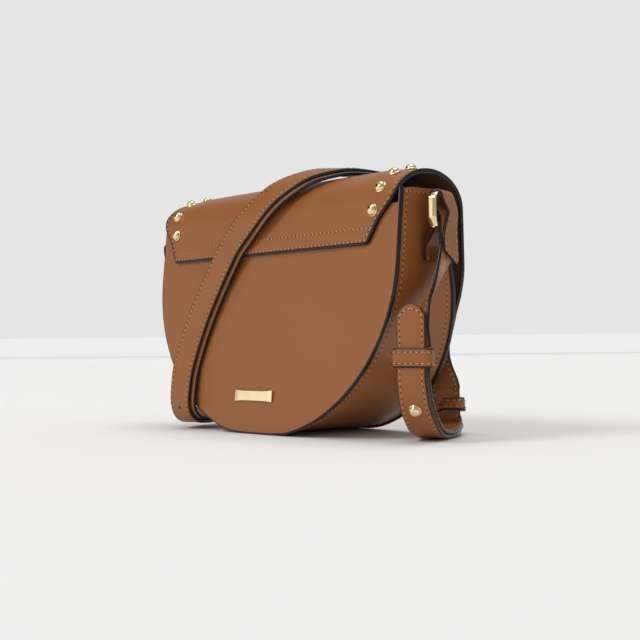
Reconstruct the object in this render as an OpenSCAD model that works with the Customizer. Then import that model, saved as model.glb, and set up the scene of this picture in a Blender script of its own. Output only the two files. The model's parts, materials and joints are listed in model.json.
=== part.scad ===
/* [Body] */
// Width of the body, across both gussets
body_w = 230; // [210:2:250]
// Height of the panels, from the ground to the mouth
panel_h = 148; // [140:2:160]
// Straight length of the panel sides below the mouth
side_h = 45; // [38:1:52]
// Height by which the bag's own weight flattens the round bottom
flat_sag = 2.2; // [1.6:0.1:2.4]
// Distance of the rear panel behind the ring line, at the mouth
rear_top = 32; // [28:1:36]
// Distance of the front panel before the ring line, at the mouth
front_top = 1.5; // [0:0.5:4]
// Lean of the rear panel, out towards the bottom
rear_lean = 5.6; // [4:0.2:7]
// Lean of the front panel, out towards the bottom
front_lean = 13.5; // [12:0.25:14]
/* [Leather and linings] */
// Thickness of the leather of both panels
panel_t = 2; // [1.6:0.1:2.4]
// Thickness of the gusset
gusset_t = 1.6; // [1.2:0.1:2]
// Step from the panels' cut edge in to the gusset
gusset_inset = 1.2; // [1:0.1:1.6]
// Width of the painted edge, seen from the front
edge_w = 0.8; // [0.6:0.1:1]
// Depth of the painted edge, seen from the side
edge_d = 3.4; // [2.6:0.1:3.8]
// Thickness of the stiffening boards
board_t = 1; // [0.6:0.1:1.2]
// Margin from the panels' edge to the boards
board_inset = 6; // [5:0.5:10]
// Thickness of the fabric lining
lining_t = 0.6; // [0.4:0.1:0.8]
// Thickness of the leather facing inside the mouth
facing_t = 1; // [0.8:0.1:1.2]
// Height of that facing, below the mouth
facing_h = 24; // [16:1:30]
// Width of the slip pocket
pocket_w = 130; // [100:5:140]
// Height of the slip pocket
pocket_h = 66; // [50:2:70]
// Height of the slip pocket's lower seam above the ground
pocket_z = 40; // [36:2:48]
// Thickness of the slip pocket
pocket_t = 0.8; // [0.6:0.1:1]
// Height of the leather trim on the slip pocket
pocket_trim_h = 12; // [8:1:16]
/* [Flap] */
// Margin from the sides of the body to the flap
flap_margin = 9; // [8:0.5:15]
// Depth below the mouth of the line where the flap starts to bend over the top
arch_drop = 10; // [8:1:14]
// Rise of the flap's arch above that line
arch_rise = 24; // [20:1:28]
// Depth of the flap's arch, from the yoke to the front of its fall
arch_depth = 63; // [60:1:66]
// Depth below the mouth at which the flap's fall meets the slope of the front panel
fall_drop = 74; // [58:1:76]
// Height of the flap's lowest point
flap_bottom = 9; // [8:1:20]
// Depth below the mouth at which the flap's straight sides end
flap_side_drop = 43; // [38:1:53]
// Thickness of the flap's outer leather
flap_t = 1.4; // [1.2:0.1:1.8]
// Thickness of the flap's inner leather
flap_lining_t = 1; // [0.8:0.1:1.4]
// Clearance between the flap and the front panel, which the closure fills
flap_gap = 3.1; // [3:0.1:4]
// Width of the painted edge of the flap, seen from the front
flap_edge_w = 0.8; // [0.6:0.1:1]
// Depth of the yoke's hem below the mouth, at the back
hem_drop = 33; // [28:1:36]
// Margin from the sides of the flap to the ends of the yoke's hem
hem_margin = 12; // [10:1:18]
// Height of the yoke's slanted corners above its hem
corner_rise = 20; // [16:1:22]
/* [Closure, plate and studs] */
// Height of the magnetic closure above the ground
snap_z = 46; // [42:1:56]
// Radius of both halves of the closure
snap_r = 9; // [7:0.5:10]
// Thickness of the half on the front panel
socket_t = 1.7; // [1.5:0.1:1.8]
// Thickness of the half on the flap
disc_t = 1; // [0.8:0.1:1.1]
// Radius of the recess in the lower half
recess_r = 3.4; // [3:0.1:4]
// Depth of that recess
recess_d = 1; // [0.8:0.1:1.2]
// Radius of the nub on the upper half
nub_r = 1.8; // [1.4:0.1:2]
// Height of that nub
nub_h = 0.8; // [0.6:0.1:1]
// Thickness of the washers behind the closure
washer_t = 0.6; // [0.4:0.1:0.8]
// Width of the plate on the back
plate_w = 36.5; // [30:0.5:42]
// Height of the plate at its ends
plate_h = 7.6; // [6:0.2:9]
// Height of the plate's narrow middle
plate_waist = 6.2; // [5:0.2:6.6]
// Thickness of the plate
plate_t = 1.2; // [1:0.1:1.6]
// Height of the plate's middle above the ground
plate_z = 24.3; // [22:1:30]
// Offset of the plate from the middle of the panel
plate_x = 3.7; // [0:0.1:6]
// Radius of the domed studs
stud_r = 3.8; // [3.2:0.1:4.4]
// Height of the domed studs
stud_h = 2.6; // [2:0.1:3]
// Distance between neighbouring studs
stud_pitch = 14.5; // [13:0.5:18]
// Distance of the studs from the flap's edge
stud_inset = 6.2; // [5.5:0.1:8]
/* [Tabs and rings] */
// Depth of the ring hinges below the mouth
ring_drop = 23; // [20:1:26]
// Distance of the ring hinges from the gusset
ring_out = 6.4; // [6.2:0.1:7]
// Distance of the left ring's hinge from the gusset, where the strap pulls the tab out
left_ring_out = 10; // [8:0.5:12]
// Width of the opening of the rings
ring_w = 19; // [18.9:0.1:20]
// Distance between the two bars of a ring
ring_h = 18.4; // [18:0.2:20]
// Height of the flat bars of the rings
bar_w = 2.2; // [2:0.1:2.6]
// Depth of the flat bars of the rings
bar_t = 4; // [3.6:0.1:4.2]
// Radius of the rings' round hinge bar
hinge_r = 1.3; // [1.1:0.1:1.4]
// Running clearance of that bar in its loop
hinge_clear = 0.08; // [0.05:0.01:0.1]
// Outward swing of the left ring as it lies
left_swing = 78; // [70:1:84]
// Distance of the tabs' middle behind the ring line
tab_y = 4.4; // [4:0.2:6]
// Width of the tabs
tab_w = 18.4; // [18:0.1:18.6]
// Thickness of the tabs, of two layers
tab_t = 2.2; // [2:0.1:2.4]
// Length of the tabs below the ring hinges
tab_len = 20; // [17:1:23]
/* [Strap] */
// Width of the strap
strap_w = 18.5; // [17:0.5:18.6]
// Thickness of one layer of the strap
strap_t = 2.2; // [1.8:0.1:2.4]
// Clearance between the layers, and to what they lie on
strap_gap = 0.3; // [0.25:0.05:0.5]
// Sideways shift of the outer layer on the inner one
layer_shift = 4.5; // [3:0.1:5]
// Free height inside the fold over a ring's bar
fold_slack = 0.4; // [0.4:0.1:0.8]
// Thickness of the strap's right end, which is thinned for its fold
end_t = 1.6; // [1.4:0.1:1.8]
// Length of the fold's stitched end, below the ring's upper bar
end_len = 37; // [34:1:38]
// Height of the strap's rounded end above the ground
tip_z = 78.5; // [74:0.5:79]
// Length of the upper keeper along the strap
keeper_len = 11; // [9:1:12]
// Length of the lower keeper along the strap
low_keeper_len = 9; // [8:1:10]
// Wall of the keepers
keeper_t = 1.2; // [1:0.1:1.4]
// Clearance of the keepers round the strap
keeper_clear = 0.4; // [0.3:0.1:0.5]
// Height of the upper keeper's middle above the ground
keeper_z = 48.5; // [47:0.5:49]
// Height of the lower keeper's middle above the ground
low_keeper_z = 18; // [17.5:0.25:18.5]
// Radius of the stud on the strap
strap_stud_r = 4; // [3.4:0.1:4.4]
/* [Hidden] */
tan_leather = [0.60, 0.36, 0.18];
dark_leather = [0.46, 0.26, 0.13];
edge_black = [0.06, 0.06, 0.06];
gold = [0.86, 0.70, 0.42];
cloth = [0.42, 0.33, 0.25];
board_grey = [0.55, 0.50, 0.44];
// Overrun of cuts past the faces that they open
over = 4;
// Steps of the rounded outlines, of the arch and of the strap between two stations
outline_step = 5;
arch_step = 7.5;
strap_steps = 6;
half_w = body_w / 2;
flap_w = body_w - 2 * flap_margin;
hem_w = flap_w - 2 * hem_margin;
arch_z = panel_h - arch_drop;
fall_z = panel_h - fall_drop;
flap_side_z = panel_h - flap_side_drop;
hem_z = panel_h - hem_drop;
ring_z = panel_h - ring_drop;
tab_z = ring_z - tab_len;
side_z = panel_h - side_h;
flap_all = flap_t + flap_lining_t;
// Clearance between faces of two bodies
face_gap = 0.3;
tab_face = half_w - gusset_inset;
ring_x = tab_face + ring_out;

// Rear face of the rear panel at height z, and front face of the front panel
function rear_y(z) = rear_top + (panel_h - z) * tan(rear_lean);
function front_y(z) = -front_top - (panel_h - z) * tan(front_lean);
// Middle and half depth of the arch over the mouth
arch_back = rear_y(arch_z) + flap_all;
arch_front = arch_back - arch_depth;
arch_mid = arch_back - arch_depth / 2;
arch_half = arch_depth / 2;
// Front of the flap's fall at height z, and how far it slopes there
knee_y = front_y(fall_z) - flap_gap - flap_all;
fall_rate = (knee_y - arch_front) / (arch_z - fall_z);
function fall_y(z) = z > fall_z ? arch_front + fall_rate * (arch_z - z) : front_y(z) - flap_gap - flap_all;
function fall_slope(z) = z > fall_z ? -atan(fall_rate) : front_lean;

// Lower half of an oval with semi-axes a and b around height mid, from the right end to the left
function bowl(a, b, mid) = [for (t = [0:outline_step:180]) [a * cos(t), mid - b * sin(t)]];
// Outline of the panels, cut down between its corners where the flap turns over it
function panel_outline(inset) = concat(
    bowl(half_w - inset, side_z + flat_sag - inset, side_z),
    [[-half_w + inset, panel_h], [-flap_w / 2 - face_gap, panel_h],
     [-flap_w / 2 - face_gap, arch_z - face_gap], [flap_w / 2 + face_gap, arch_z - face_gap],
     [flap_w / 2 + face_gap, panel_h], [half_w - inset, panel_h]]);
function flap_outline(inset) = concat(
    bowl(flap_w / 2 - inset, flap_side_z - flap_bottom - inset, flap_side_z),
    [[-flap_w / 2 + inset, arch_z + arch_rise + over], [flap_w / 2 - inset, arch_z + arch_rise + over]]);
function yoke_outline(inset) = [
    [-hem_w / 2 + inset, hem_z + inset], [hem_w / 2 - inset, hem_z + inset],
    [flap_w / 2 - inset, hem_z + corner_rise], [flap_w / 2 - inset, arch_z],
    [-flap_w / 2 + inset, arch_z], [-flap_w / 2 + inset, hem_z + corner_rise]];

// Side profile of the flap between two offsets in from its outer face, arch and front fall together
function flap_line(inset) = concat(
    [for (t = concat([asin(face_gap / (arch_rise - inset))], [for (k = [arch_step:arch_step:180]) k]))
        [arch_mid + (arch_half - inset) * cos(t), arch_z + (arch_rise - inset) * sin(t)]],
    [[knee_y + inset, fall_z], [fall_y(flap_bottom - over) + inset, flap_bottom - over]]);
function reversed(list) = [for (i = [len(list) - 1:-1:0]) list[i]];

// Upright prism along Y of a shape drawn in X and Z
module along_y() { rotate([90, 0, 0]) linear_extrude(4 * panel_h, center = true) children(); }
// Prism along X of a shape drawn in Y and Z
module along_x() { rotate([90, 0, 90]) linear_extrude(2 * body_w, center = true) children(); }
// Slab that follows the rear panel, between two depths in from its rear face
module rear_slab(from, to, top = panel_h) {
    along_x() polygon([
        [rear_y(0) - to, 0], [rear_y(0) - from, 0], [rear_y(top) - from, top], [rear_y(top) - to, top]]);
}
module front_slab(from, to, top = panel_h) {
    along_x() polygon([
        [front_y(0) + from, 0], [front_y(0) + to, 0], [front_y(top) + to, top], [front_y(top) + from, top]]);
}
// Wedge between the panels, between two depths in from their outer faces
module wedge(rear_in, front_in, low = 0, top = panel_h) {
    along_x() polygon([
        [front_y(low) + front_in, low], [rear_y(low) - rear_in, low],
        [rear_y(top) - rear_in, top], [front_y(top) + front_in, top]]);
}
module on_rear(x, z) {
    translate([x, rear_y(z), z]) rotate([rear_lean, 0, 0]) rotate([-90, 0, 0]) children();
}
module on_front(x, z) {
    translate([x, front_y(z), z]) rotate([-front_lean, 0, 0]) rotate([90, 0, 0]) children();
}
// Ring between two outlines in from the panels' edge
module rim(from, to) {
    difference() {
        polygon(concat(bowl(half_w - from, side_z + flat_sag - from, side_z),
            [[-half_w + from, panel_h], [half_w - from, panel_h]]));
        polygon(concat(bowl(half_w - to, side_z + flat_sag - to, side_z),
            [[-half_w + to, panel_h + over], [half_w - to, panel_h + over]]));
    }
}
module rear_panel() {
    color(tan_leather) intersection() {
        along_y() polygon(panel_outline(edge_w));
        rear_slab(0, panel_t);
    }
}
module front_panel() {
    color(tan_leather) intersection() {
        along_y() polygon(panel_outline(edge_w));
        front_slab(0, panel_t);
    }
}
module rear_edge() {
    color(edge_black) intersection() { along_y() rim(0, edge_w); rear_slab(0, edge_d); }
}
module front_edge() {
    color(edge_black) intersection() { along_y() rim(0, edge_w); front_slab(0, edge_d); }
}
module gusset() {
    color(tan_leather) intersection() {
        along_y() rim(gusset_inset, gusset_inset + gusset_t);
        wedge(panel_t, panel_t);
    }
}
module board_shape() {
    polygon(concat(bowl(half_w - board_inset, side_z - board_inset, side_z),
        [[-half_w + board_inset, panel_h - facing_h], [half_w - board_inset, panel_h - facing_h]]));
}
module rear_board() {
    color(board_grey) intersection() { along_y() board_shape(); rear_slab(panel_t, panel_t + board_t); }
}
module front_board() {
    color(board_grey) difference() {
        intersection() { along_y() board_shape(); front_slab(panel_t, panel_t + board_t); }
        washer_pocket(snap_r, -panel_n - washer_t);
    }
}
// Distances square to the front panel: its own thickness, the gap to the flap, and the flap's inner layer
panel_n = panel_t * cos(front_lean);
gap_n = flap_gap * cos(front_lean);
inner_n = flap_lining_t * cos(front_lean);
disc_washer_r = snap_r - stud_r;
// Round pocket in which a washer of the closure lies, its floor at a distance from the front panel
module washer_pocket(r, floor_n) {
    on_front(0, snap_z) translate([0, 0, floor_n]) cylinder(r = r, h = over, $fn = 48);
}
wall_in = gusset_inset + gusset_t;
lining_in = panel_t + board_t;
module lining() {
    color(cloth) difference() {
        intersection() {
            along_y() rim(wall_in, half_w);
            wedge(lining_in, lining_in, 0, panel_h - facing_h);
        }
        intersection() {
            along_y() rim(wall_in + lining_t, half_w);
            wedge(lining_in + lining_t, lining_in + lining_t, -over, panel_h - facing_h + over);
        }
    }
}
// The facing is low at the flap, as the panels are
module mouth_facing() {
    color(dark_leather) difference() {
        intersection() {
            along_y() rim(wall_in, half_w);
            wedge(panel_t, panel_t, panel_h - facing_h);
        }
        intersection() {
            along_y() rim(wall_in + facing_t, half_w);
            wedge(panel_t + facing_t, panel_t + facing_t, panel_h - facing_h - over, panel_h + over);
        }
        translate([-flap_w / 2 - face_gap, -body_w / 2, arch_z - face_gap])
            cube([flap_w + 2 * face_gap, body_w, panel_h]);
    }
}
module slip_pocket() {
    color(cloth) intersection() {
        translate([-pocket_w / 2, 0, pocket_z]) cube([pocket_w, body_w, pocket_h]);
        rear_slab(lining_in + lining_t, lining_in + lining_t + pocket_t);
    }
}
module pocket_trim() {
    color(dark_leather) intersection() {
        translate([-pocket_w / 2, 0, pocket_z + pocket_h - pocket_trim_h])
            cube([pocket_w, body_w, pocket_trim_h]);
        rear_slab(lining_in + lining_t + pocket_t, lining_in + lining_t + 2 * pocket_t);
    }
}
module flap_yoke() {
    color(tan_leather) intersection() {
        along_y() polygon(yoke_outline(flap_edge_w));
        rear_slab(-flap_all, 0);
    }
}
module yoke_edge() {
    color(edge_black) intersection() {
        along_y() difference() {
            polygon(yoke_outline(0));
            polygon(concat([for (i = [0:3]) yoke_outline(flap_edge_w)[i]],
                [[flap_w / 2 - flap_edge_w, arch_z + over], [-flap_w / 2 + flap_edge_w, arch_z + over]],
                [yoke_outline(flap_edge_w)[5]]));
        }
        rear_slab(-flap_all, 0, arch_z);
    }
}
// Layer of the flap between two depths in from its outer face
module flap_layer(from, to) {
    along_x() polygon(concat(flap_line(from), reversed(flap_line(to))));
}
module flap() {
    color(tan_leather) intersection() {
        along_y() polygon(flap_outline(flap_edge_w));
        flap_layer(0, flap_t);
    }
}
module flap_lining() {
    color(dark_leather) difference() {
        intersection() {
            along_y() polygon(flap_outline(flap_edge_w));
            flap_layer(flap_t, flap_all);
        }
        washer_pocket(disc_washer_r, gap_n + inner_n - washer_t);
    }
}
module flap_edge() {
    color(edge_black) intersection() {
        along_y() difference() {
            polygon(flap_outline(0));
            polygon(concat(
                bowl(flap_w / 2 - flap_edge_w, flap_side_z - flap_bottom - flap_edge_w, flap_side_z),
                [[-flap_w / 2 + flap_edge_w, 2 * panel_h], [flap_w / 2 - flap_edge_w, 2 * panel_h]]));
        }
        flap_layer(0, flap_all);
    }
}
// Domed head, its flat side at the origin and its top along Z
module dome(r, h) {
    rotate_extrude($fn = 36) polygon(concat(
        [[0, 0], [r, 0], [r, h / 5]],
        [for (t = [15:15:75]) [r * cos(t) * 0.94, h / 5 + (h - h / 5) * sin(t)]],
        [[0, h]]));
}
stud_half = flap_w / 2 - stud_inset;
seat = 0.02;
module yoke_studs() {
    color(gold) for (side = [-1, 1])
        on_rear(side * (stud_half - stud_r), arch_z - 1.15 * stud_r)
            translate([0, 0, flap_all + seat]) dome(stud_r, stud_h);
}
// Angles of the arch at which the studs sit, one pitch apart along it
arch_first = 25;
arch_last = 170;
function arch_rate(t) = norm([arch_half * sin(t), arch_rise * cos(t)]) * PI / 180;
function arch_turns(t) = t > arch_last ? [] : concat([t], arch_turns(t + stud_pitch / arch_rate(t)));
module flap_studs() {
    color(gold) {
        for (side = [-1, 1], turn = arch_turns(arch_first)) {
            across = arch_mid + arch_half * cos(turn);
            up = arch_z + arch_rise * sin(turn);
            lean = atan2(arch_half * sin(turn), arch_rise * cos(turn));
            translate([side * stud_half, across, up]) rotate([lean - 90, 0, 0])
                translate([0, 0, seat]) dome(stud_r, stud_h);
        }
        front_studs();
    }
}
// Studs along the rounded edge of the front fall
fall_a = stud_half;
fall_b = flap_side_z - flap_bottom - stud_inset;
fall_count = 2 * floor(1.6 * fall_a / stud_pitch) + 1;
module front_studs() {
    for (i = [0:fall_count - 1]) {
        turn = 180 * i / (fall_count - 1);
        on_flap_front(fall_a * cos(turn), flap_side_z - fall_b * sin(turn)) dome(stud_r, stud_h);
    }
    for (side = [-1, 1], k = [1:2])
        on_flap_front(side * fall_a, flap_side_z + 0.9 * k * stud_pitch) dome(stud_r, stud_h);
}
module on_flap_front(x, z) {
    translate([x, fall_y(z) - seat, z]) rotate([-fall_slope(z), 0, 0]) rotate([90, 0, 0]) children();
}
// Plate with drawn-in long sides and flared corners
function plate_half(t) = plate_waist / 2 + (plate_h - plate_waist) / 2 * pow(abs(t), 3);
module name_plate() {
    color(gold) on_rear(plate_x, plate_z) translate([0, 0, seat]) linear_extrude(plate_t) polygon(concat(
        [for (t = [-1:0.125:1]) [plate_w / 2 * t, plate_half(t)]],
        [for (t = [1:-0.125:-1]) [plate_w / 2 * t, -plate_half(t)]]));
}
module snap_socket() {
    color(gold) on_front(0, snap_z) difference() {
        cylinder(r = snap_r, h = socket_t, $fn = 48);
        translate([0, 0, socket_t - recess_d]) cylinder(r = recess_r, h = recess_d + over, $fn = 32);
    }
}
module snap_socket_washer() {
    color(gold) on_front(0, snap_z) translate([0, 0, -panel_n - washer_t])
        cylinder(r = snap_r, h = washer_t, $fn = 48);
}
module snap_disc() {
    color(gold) on_front(0, snap_z) translate([0, 0, gap_n - disc_t]) {
        cylinder(r = snap_r, h = disc_t, $fn = 48);
        translate([0, 0, -nub_h]) cylinder(r1 = nub_r / 2, r2 = nub_r, h = nub_h, $fn = 32);
    }
}
module snap_disc_washer() {
    color(gold) on_front(0, snap_z) translate([0, 0, gap_n + inner_n - washer_t])
        cylinder(r = disc_washer_r, h = washer_t, $fn = 48);
}
// Tab on the right gusset, with the loop that carries a ring's round bar
loop_r = hinge_r + hinge_clear + tab_t / 2;
module tab(out) {
    root_z = tab_z + 0.45 * (ring_z - tab_z);
    slant = atan2(out - ring_out, ring_z - root_z) + 20;
    translate([0, tab_y, 0]) rotate([90, 0, 0]) linear_extrude(tab_w, center = true) difference() {
        union() {
            translate([-tab_face - tab_t, tab_z]) square([tab_t, root_z - tab_z]);
            polygon([
                [-tab_face, root_z], [-tab_face - tab_t, root_z],
                [-tab_face - out - loop_r * cos(slant), ring_z - loop_r / 3],
                [-tab_face - out + loop_r * 0.8, ring_z + loop_r * 0.6]]);
            translate([-tab_face - out, ring_z]) circle(r = loop_r, $fn = 48);
        }
        translate([-tab_face - out, ring_z]) circle(r = hinge_r + hinge_clear, $fn = 48);
    }
}
module tab_right() { color(tan_leather) tab(ring_out); }
module tab_left() { color(tan_leather) mirror([1, 0, 0]) tab(left_ring_out); }
// Ring that stands up from its hinge bar at the origin, flat across X
corner = bar_w * 1.4;
out_w = ring_w / 2 + bar_w;
module ring_shape() {
    rotate([90, 0, 90]) linear_extrude(bar_t, center = true) difference() {
        polygon([
            [-out_w, -hinge_r + corner], [-out_w + corner, -hinge_r], [out_w - corner, -hinge_r],
            [out_w, -hinge_r + corner], [out_w, ring_h + hinge_r - corner],
            [out_w - corner, ring_h + hinge_r], [-out_w + corner, ring_h + hinge_r],
            [-out_w, ring_h + hinge_r - corner]]);
        translate([-ring_w / 2, -over]) square([ring_w, ring_h + hinge_r - bar_w + over]);
    }
    rotate([90, 0, 0]) cylinder(r = hinge_r, h = ring_w + bar_w, center = true, $fn = 48);
}
module ring_right() { color(gold) translate([-ring_x, tab_y, ring_z]) ring_shape(); }
module ring_left() {
    color(gold) translate([tab_face + left_ring_out, tab_y, ring_z]) rotate([0, left_swing, 0]) ring_shape();
}

// Stations of the strap, as [x, y, z, width direction, share of the layer shift, share of the width]
pair_in = strap_gap + strap_t + strap_gap / 2;
half_pair = (strap_t + strap_gap) / 2;
function turn_to(a) = [cos(a), sin(a), 0];
function station(p, w, shift = 1, width = 1) = concat(p, w, [shift, width]);
function strap_back_at(x, z, lift = 0) = [
    x * half_w, rear_y(z * panel_h) + flap_all + pair_in + lift, z * panel_h];
function strap_front_at(x, z, lift) = [
    x * half_w, fall_y(z * panel_h) - pair_in - lift, z * panel_h];
function strap_arch_at(x, t, lift) = let (off = pair_in + lift) [
    x * half_w, arch_mid + (arch_half + off) * cos(t), arch_z + (arch_rise + off) * sin(t)];
// Line of the upper keeper, behind the right gusset's outer side
leg_x = half_w + 0.5 * strap_w + 1.05;
leg_y = rear_top + strap_t + strap_gap;
keep_turn = 15;
keep_shift = 0.4;
low_x = 0.72 * half_w;
low_y = fall_y(low_keeper_z) - pair_in - keeper_t - keeper_clear;
// Right leg under the ring, which twists by more than a quarter turn on its way to the keeper
leg_out = ring_x + loop_r + strap_gap + strap_t / 2;
leg_shares = [
    [0, 0.128, 0.797, 90], [0, 0.15, 0.745, 93], [-0.008, 0.33, 0.622, 122],
    [0, 0.58, 0.532, 142], [0.011, 0.79, 0.446, 162], [0.011, 0.875, 0.405, 180],
    [0.0125, 0.94, 0.375, 193]];
keeper_line = [for (z = [0.365, 0.3, 0.24])
    station([-leg_x, leg_y, z * panel_h], turn_to(keep_turn), keep_shift)];
right_leg = concat(
    [for (s = leg_shares)
        station([-leg_out * (1 + s[0]), s[1] * leg_y, s[2] * panel_h], turn_to(s[3]), 0)],
    [station(place(keeper_line[0]) + [0, 0, 2 * face_gap] - half_pair * [-sin(keep_turn), cos(keep_turn), 0]
        - keep_shift * layer_shift / 2 * turn_to(keep_turn), -turn_to(keep_turn), 0)]);
right_turn_shares = [
    [1.08, 0.272, 0.15, 21], [1.062, 0.215, 0.087, 26], [1.025, 0.13, 0.042, 30], [0.968, 0.01, 0.0215, 30],
    [0.905, -0.125, 0.0225, 27], [0.83, -0.25, 0.0255, 18], [0.745, -0.346, 0.038, 5]];
right_turn = [for (s = right_turn_shares)
    station([-s[0] * half_w, s[1] * half_w, s[2] * panel_h], turn_to(s[3]), keep_shift)];
low_line = [for (z = [0.066, 0.086, 0.18, 0.21]) station([-low_x, low_y, z * panel_h], [1, 0, 0], keep_shift)];
over_studs = stud_h + strap_gap;
front_run = [
    station(strap_front_at(-0.705, 0.35, over_studs), [1, 0, 0]),
    station(strap_front_at(-0.775, 0.6, over_studs), [1, 0, -0.05]),
    station(strap_front_at(-0.8, 0.84, over_studs), [0.98, 0, -0.1])];
crest_run = [
    station(strap_arch_at(-0.69, 174, over_studs), [0.9, -0.05, -0.42]),
    station(strap_arch_at(-0.545, 136, strap_t / 2), [0.78, -0.45, -0.43]),
    station(strap_arch_at(-0.43, 100, strap_t / 3), [0.68, -0.72, -0.08]),
    station(strap_arch_at(-0.345, 76, strap_t / 3), [0.62, -0.76, 0.2]),
    station(strap_arch_at(-0.23, 52, strap_t / 2), [0.58, -0.65, 0.48]),
    station(strap_arch_at(-0.07, 24, strap_t / 2), [0.58, -0.33, 0.74])];
back_run = [
    station(strap_back_at(0.14, 0.89, strap_t / 2), [0.58, 0, 0.82]),
    station(strap_back_at(0.285, 0.785), [0.6, 0, 0.8]),
    station(strap_back_at(0.49, 0.54), [0.85, 0.12, 0.5]),
    station(strap_back_at(0.61, 0.32), [0.95, 0.17, 0.28]),
    station(strap_back_at(0.635, 0.19), [1, 0.14, 0.05])];
left_turn_shares = [
    [0.63, 0.43, 0.105, 5], [0.65, 0.375, 0.056, 6], [0.7, 0.27, 0.04, 8], [0.775, 0.14, 0.045, 12],
    [0.865, 0.06, 0.11, 22], [0.945, 0.03, 0.22, 38]];
left_turn = [for (s = left_turn_shares)
    station([s[0] * half_w, s[1] * half_w, s[2] * panel_h], turn_to(s[3]))];
bar_x = tab_face + left_ring_out + ring_h * sin(left_swing);
bar_z = ring_z + ring_h * cos(left_swing);
left_leg_shares = [[0.34, 0.1, 55, 0.8], [0.52, 0.55, 75, 0.5], [0.68, 0.88, 88, 0.2], [0.76, 1, 90, 0]];
left_leg = [for (s = left_leg_shares)
    station([half_w + (bar_x - half_w) * s[1], tab_y, s[0] * panel_h], turn_to(s[2]), s[3])];
route = concat(keeper_line, right_turn, low_line, front_run, crest_run, back_run, left_turn, left_leg);
tip_line = [for (s = [[0, 0.42], [0.07, 0.72], [0.22, 0.93], [0.5, 1]])
    station([-leg_x, leg_y, tip_z - strap_w * s[0]], turn_to(keep_turn), keep_shift, s[1])];
// First station of each stretch of the route
at_front = len(keeper_line) + len(right_turn) + len(low_line) - 1;
at_crest = at_front + 1 + len(front_run);
at_back = at_crest + len(crest_run);
at_left = at_back + len(back_run) - 1;
at_up = at_left + len(left_turn);
at_end = len(route) - 1;

function pick(list, i) = list[max(0, min(len(list) - 1, i))];
function blend(p, q, r, s, u) =
    0.5 * (2 * q + (r - p) * u + (2 * p - 5 * q + 4 * r - s) * u * u + (3 * q - p - 3 * r + s) * u * u * u);
// Dense sections between two stations of a list, with one more before them and one after
function dense(list, from, to) = concat(
    [beyond(list, from, -1)],
    [for (i = [from:to - 1], k = [0:strap_steps - 1])
        blend(pick(list, i - 1), list[i], list[i + 1], pick(list, i + 2), k / strap_steps)],
    [list[to], beyond(list, to, 1)]);
// Section one step before or after a station, past the list's end in its own line
function beyond(list, i, way) = let (last = len(list) - 1, u = 1 / strap_steps)
    way < 0 && i == 0 ? list[0] - (list[1] - list[0]) * u
    : way > 0 && i == last ? list[last] + (list[last] - list[last - 1]) * u
    : way < 0 ? blend(pick(list, i - 2), list[i - 1], list[i], pick(list, i + 1), 1 - u)
    : blend(pick(list, i - 1), list[i], list[i + 1], pick(list, i + 2), u);
function place(s) = [s[0], s[1], s[2]];
function unit(v) = v / norm(v);
// Corners of one section: centre pushed out by lift and aside by the layer shift
function section(s, along, lift, aside) = let (
    w0 = [s[3], s[4], s[5]],
    w = unit(w0 - (w0 * along) * along),
    n = cross(w, along),
    c = place(s) + n * lift + w * aside * s[6],
    a = w * strap_w * s[7] / 2,
    b = n * strap_t / 2) [c - a - b, c + a - b, c + a + b, c - a + b];
// Both broad sides are split along the same diagonal, so that two twisted layers stay apart
module ribbon(sections, lift, aside) {
    last = len(sections) - 3;
    points = [for (i = [0:last]) each section(sections[i + 1],
        unit(place(sections[i + 2]) - place(sections[i])), lift, aside)];
    faces = concat(
        [[3, 2, 1], [3, 1, 0]],
        [for (i = [0:last - 1], k = [0:3]) let (a = 4 * i + k, b = 4 * i + (k + 1) % 4) each
            k == 2 ? [[a, b, a + 4], [b, b + 4, a + 4]] : [[a, b, b + 4], [a, b + 4, a + 4]]],
        [[4 * last, 4 * last + 1, 4 * last + 2], [4 * last, 4 * last + 2, 4 * last + 3]]);
    polyhedron(points, faces, convexity = 6);
}
module inner(from, to) { ribbon(dense(route, from, to), -half_pair, -layer_shift / 2); }
module outer(from, to) { ribbon(dense(route, from, to), half_pair, layer_shift / 2); }
// Cylinder round the line on which the flap bends
module about_hinge(r) {
    translate([0, arch_back, arch_z]) rotate([0, 90, 0])
        cylinder(r = r, h = 2 * body_w, center = true, $fn = 96);
}
// The right leg parts from the flap's strap on an arc round that line
split_r = 0.55 * side_z;
bend_gap = 2 * strap_t + 2 * strap_gap + 4;
module leg_right() {
    color(tan_leather) intersection() { ribbon(dense(right_leg, 0, 4), 0, 0); about_hinge(split_r); }
}
module leg_right_lower() {
    color(tan_leather) difference() {
        ribbon(dense(right_leg, 1, len(right_leg) - 1), 0, 0);
        about_hinge(split_r + face_gap);
    }
}
module strap_tip() {
    color(tan_leather)
        ribbon(dense(concat(tip_line, keeper_line), 0, len(tip_line)), half_pair, layer_shift / 2);
}
module turn_right_inner() { color(tan_leather) inner(0, at_front); }
module turn_right_outer() { color(tan_leather) outer(0, at_front); }
module front_part() {
    difference() {
        children();
        translate([-body_w, arch_mid, -over]) cube([2 * body_w, body_w, arch_z + bend_gap + over]);
    }
}
module back_part() {
    difference() {
        children();
        translate([-body_w, arch_mid, arch_z - face_gap]) cube([2 * body_w, body_w, panel_h]);
    }
}
module front_inner() { color(tan_leather) front_part() inner(at_front, at_back); }
module front_outer() { color(tan_leather) front_part() outer(at_front, at_back); }
module back_inner() { color(tan_leather) back_part() inner(at_back - 1, at_left); }
module back_outer() { color(tan_leather) back_part() outer(at_back - 1, at_left); }
module turn_left_inner() { color(tan_leather) inner(at_left, at_up); }
module turn_left_outer() { color(tan_leather) outer(at_left, at_up); }
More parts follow.
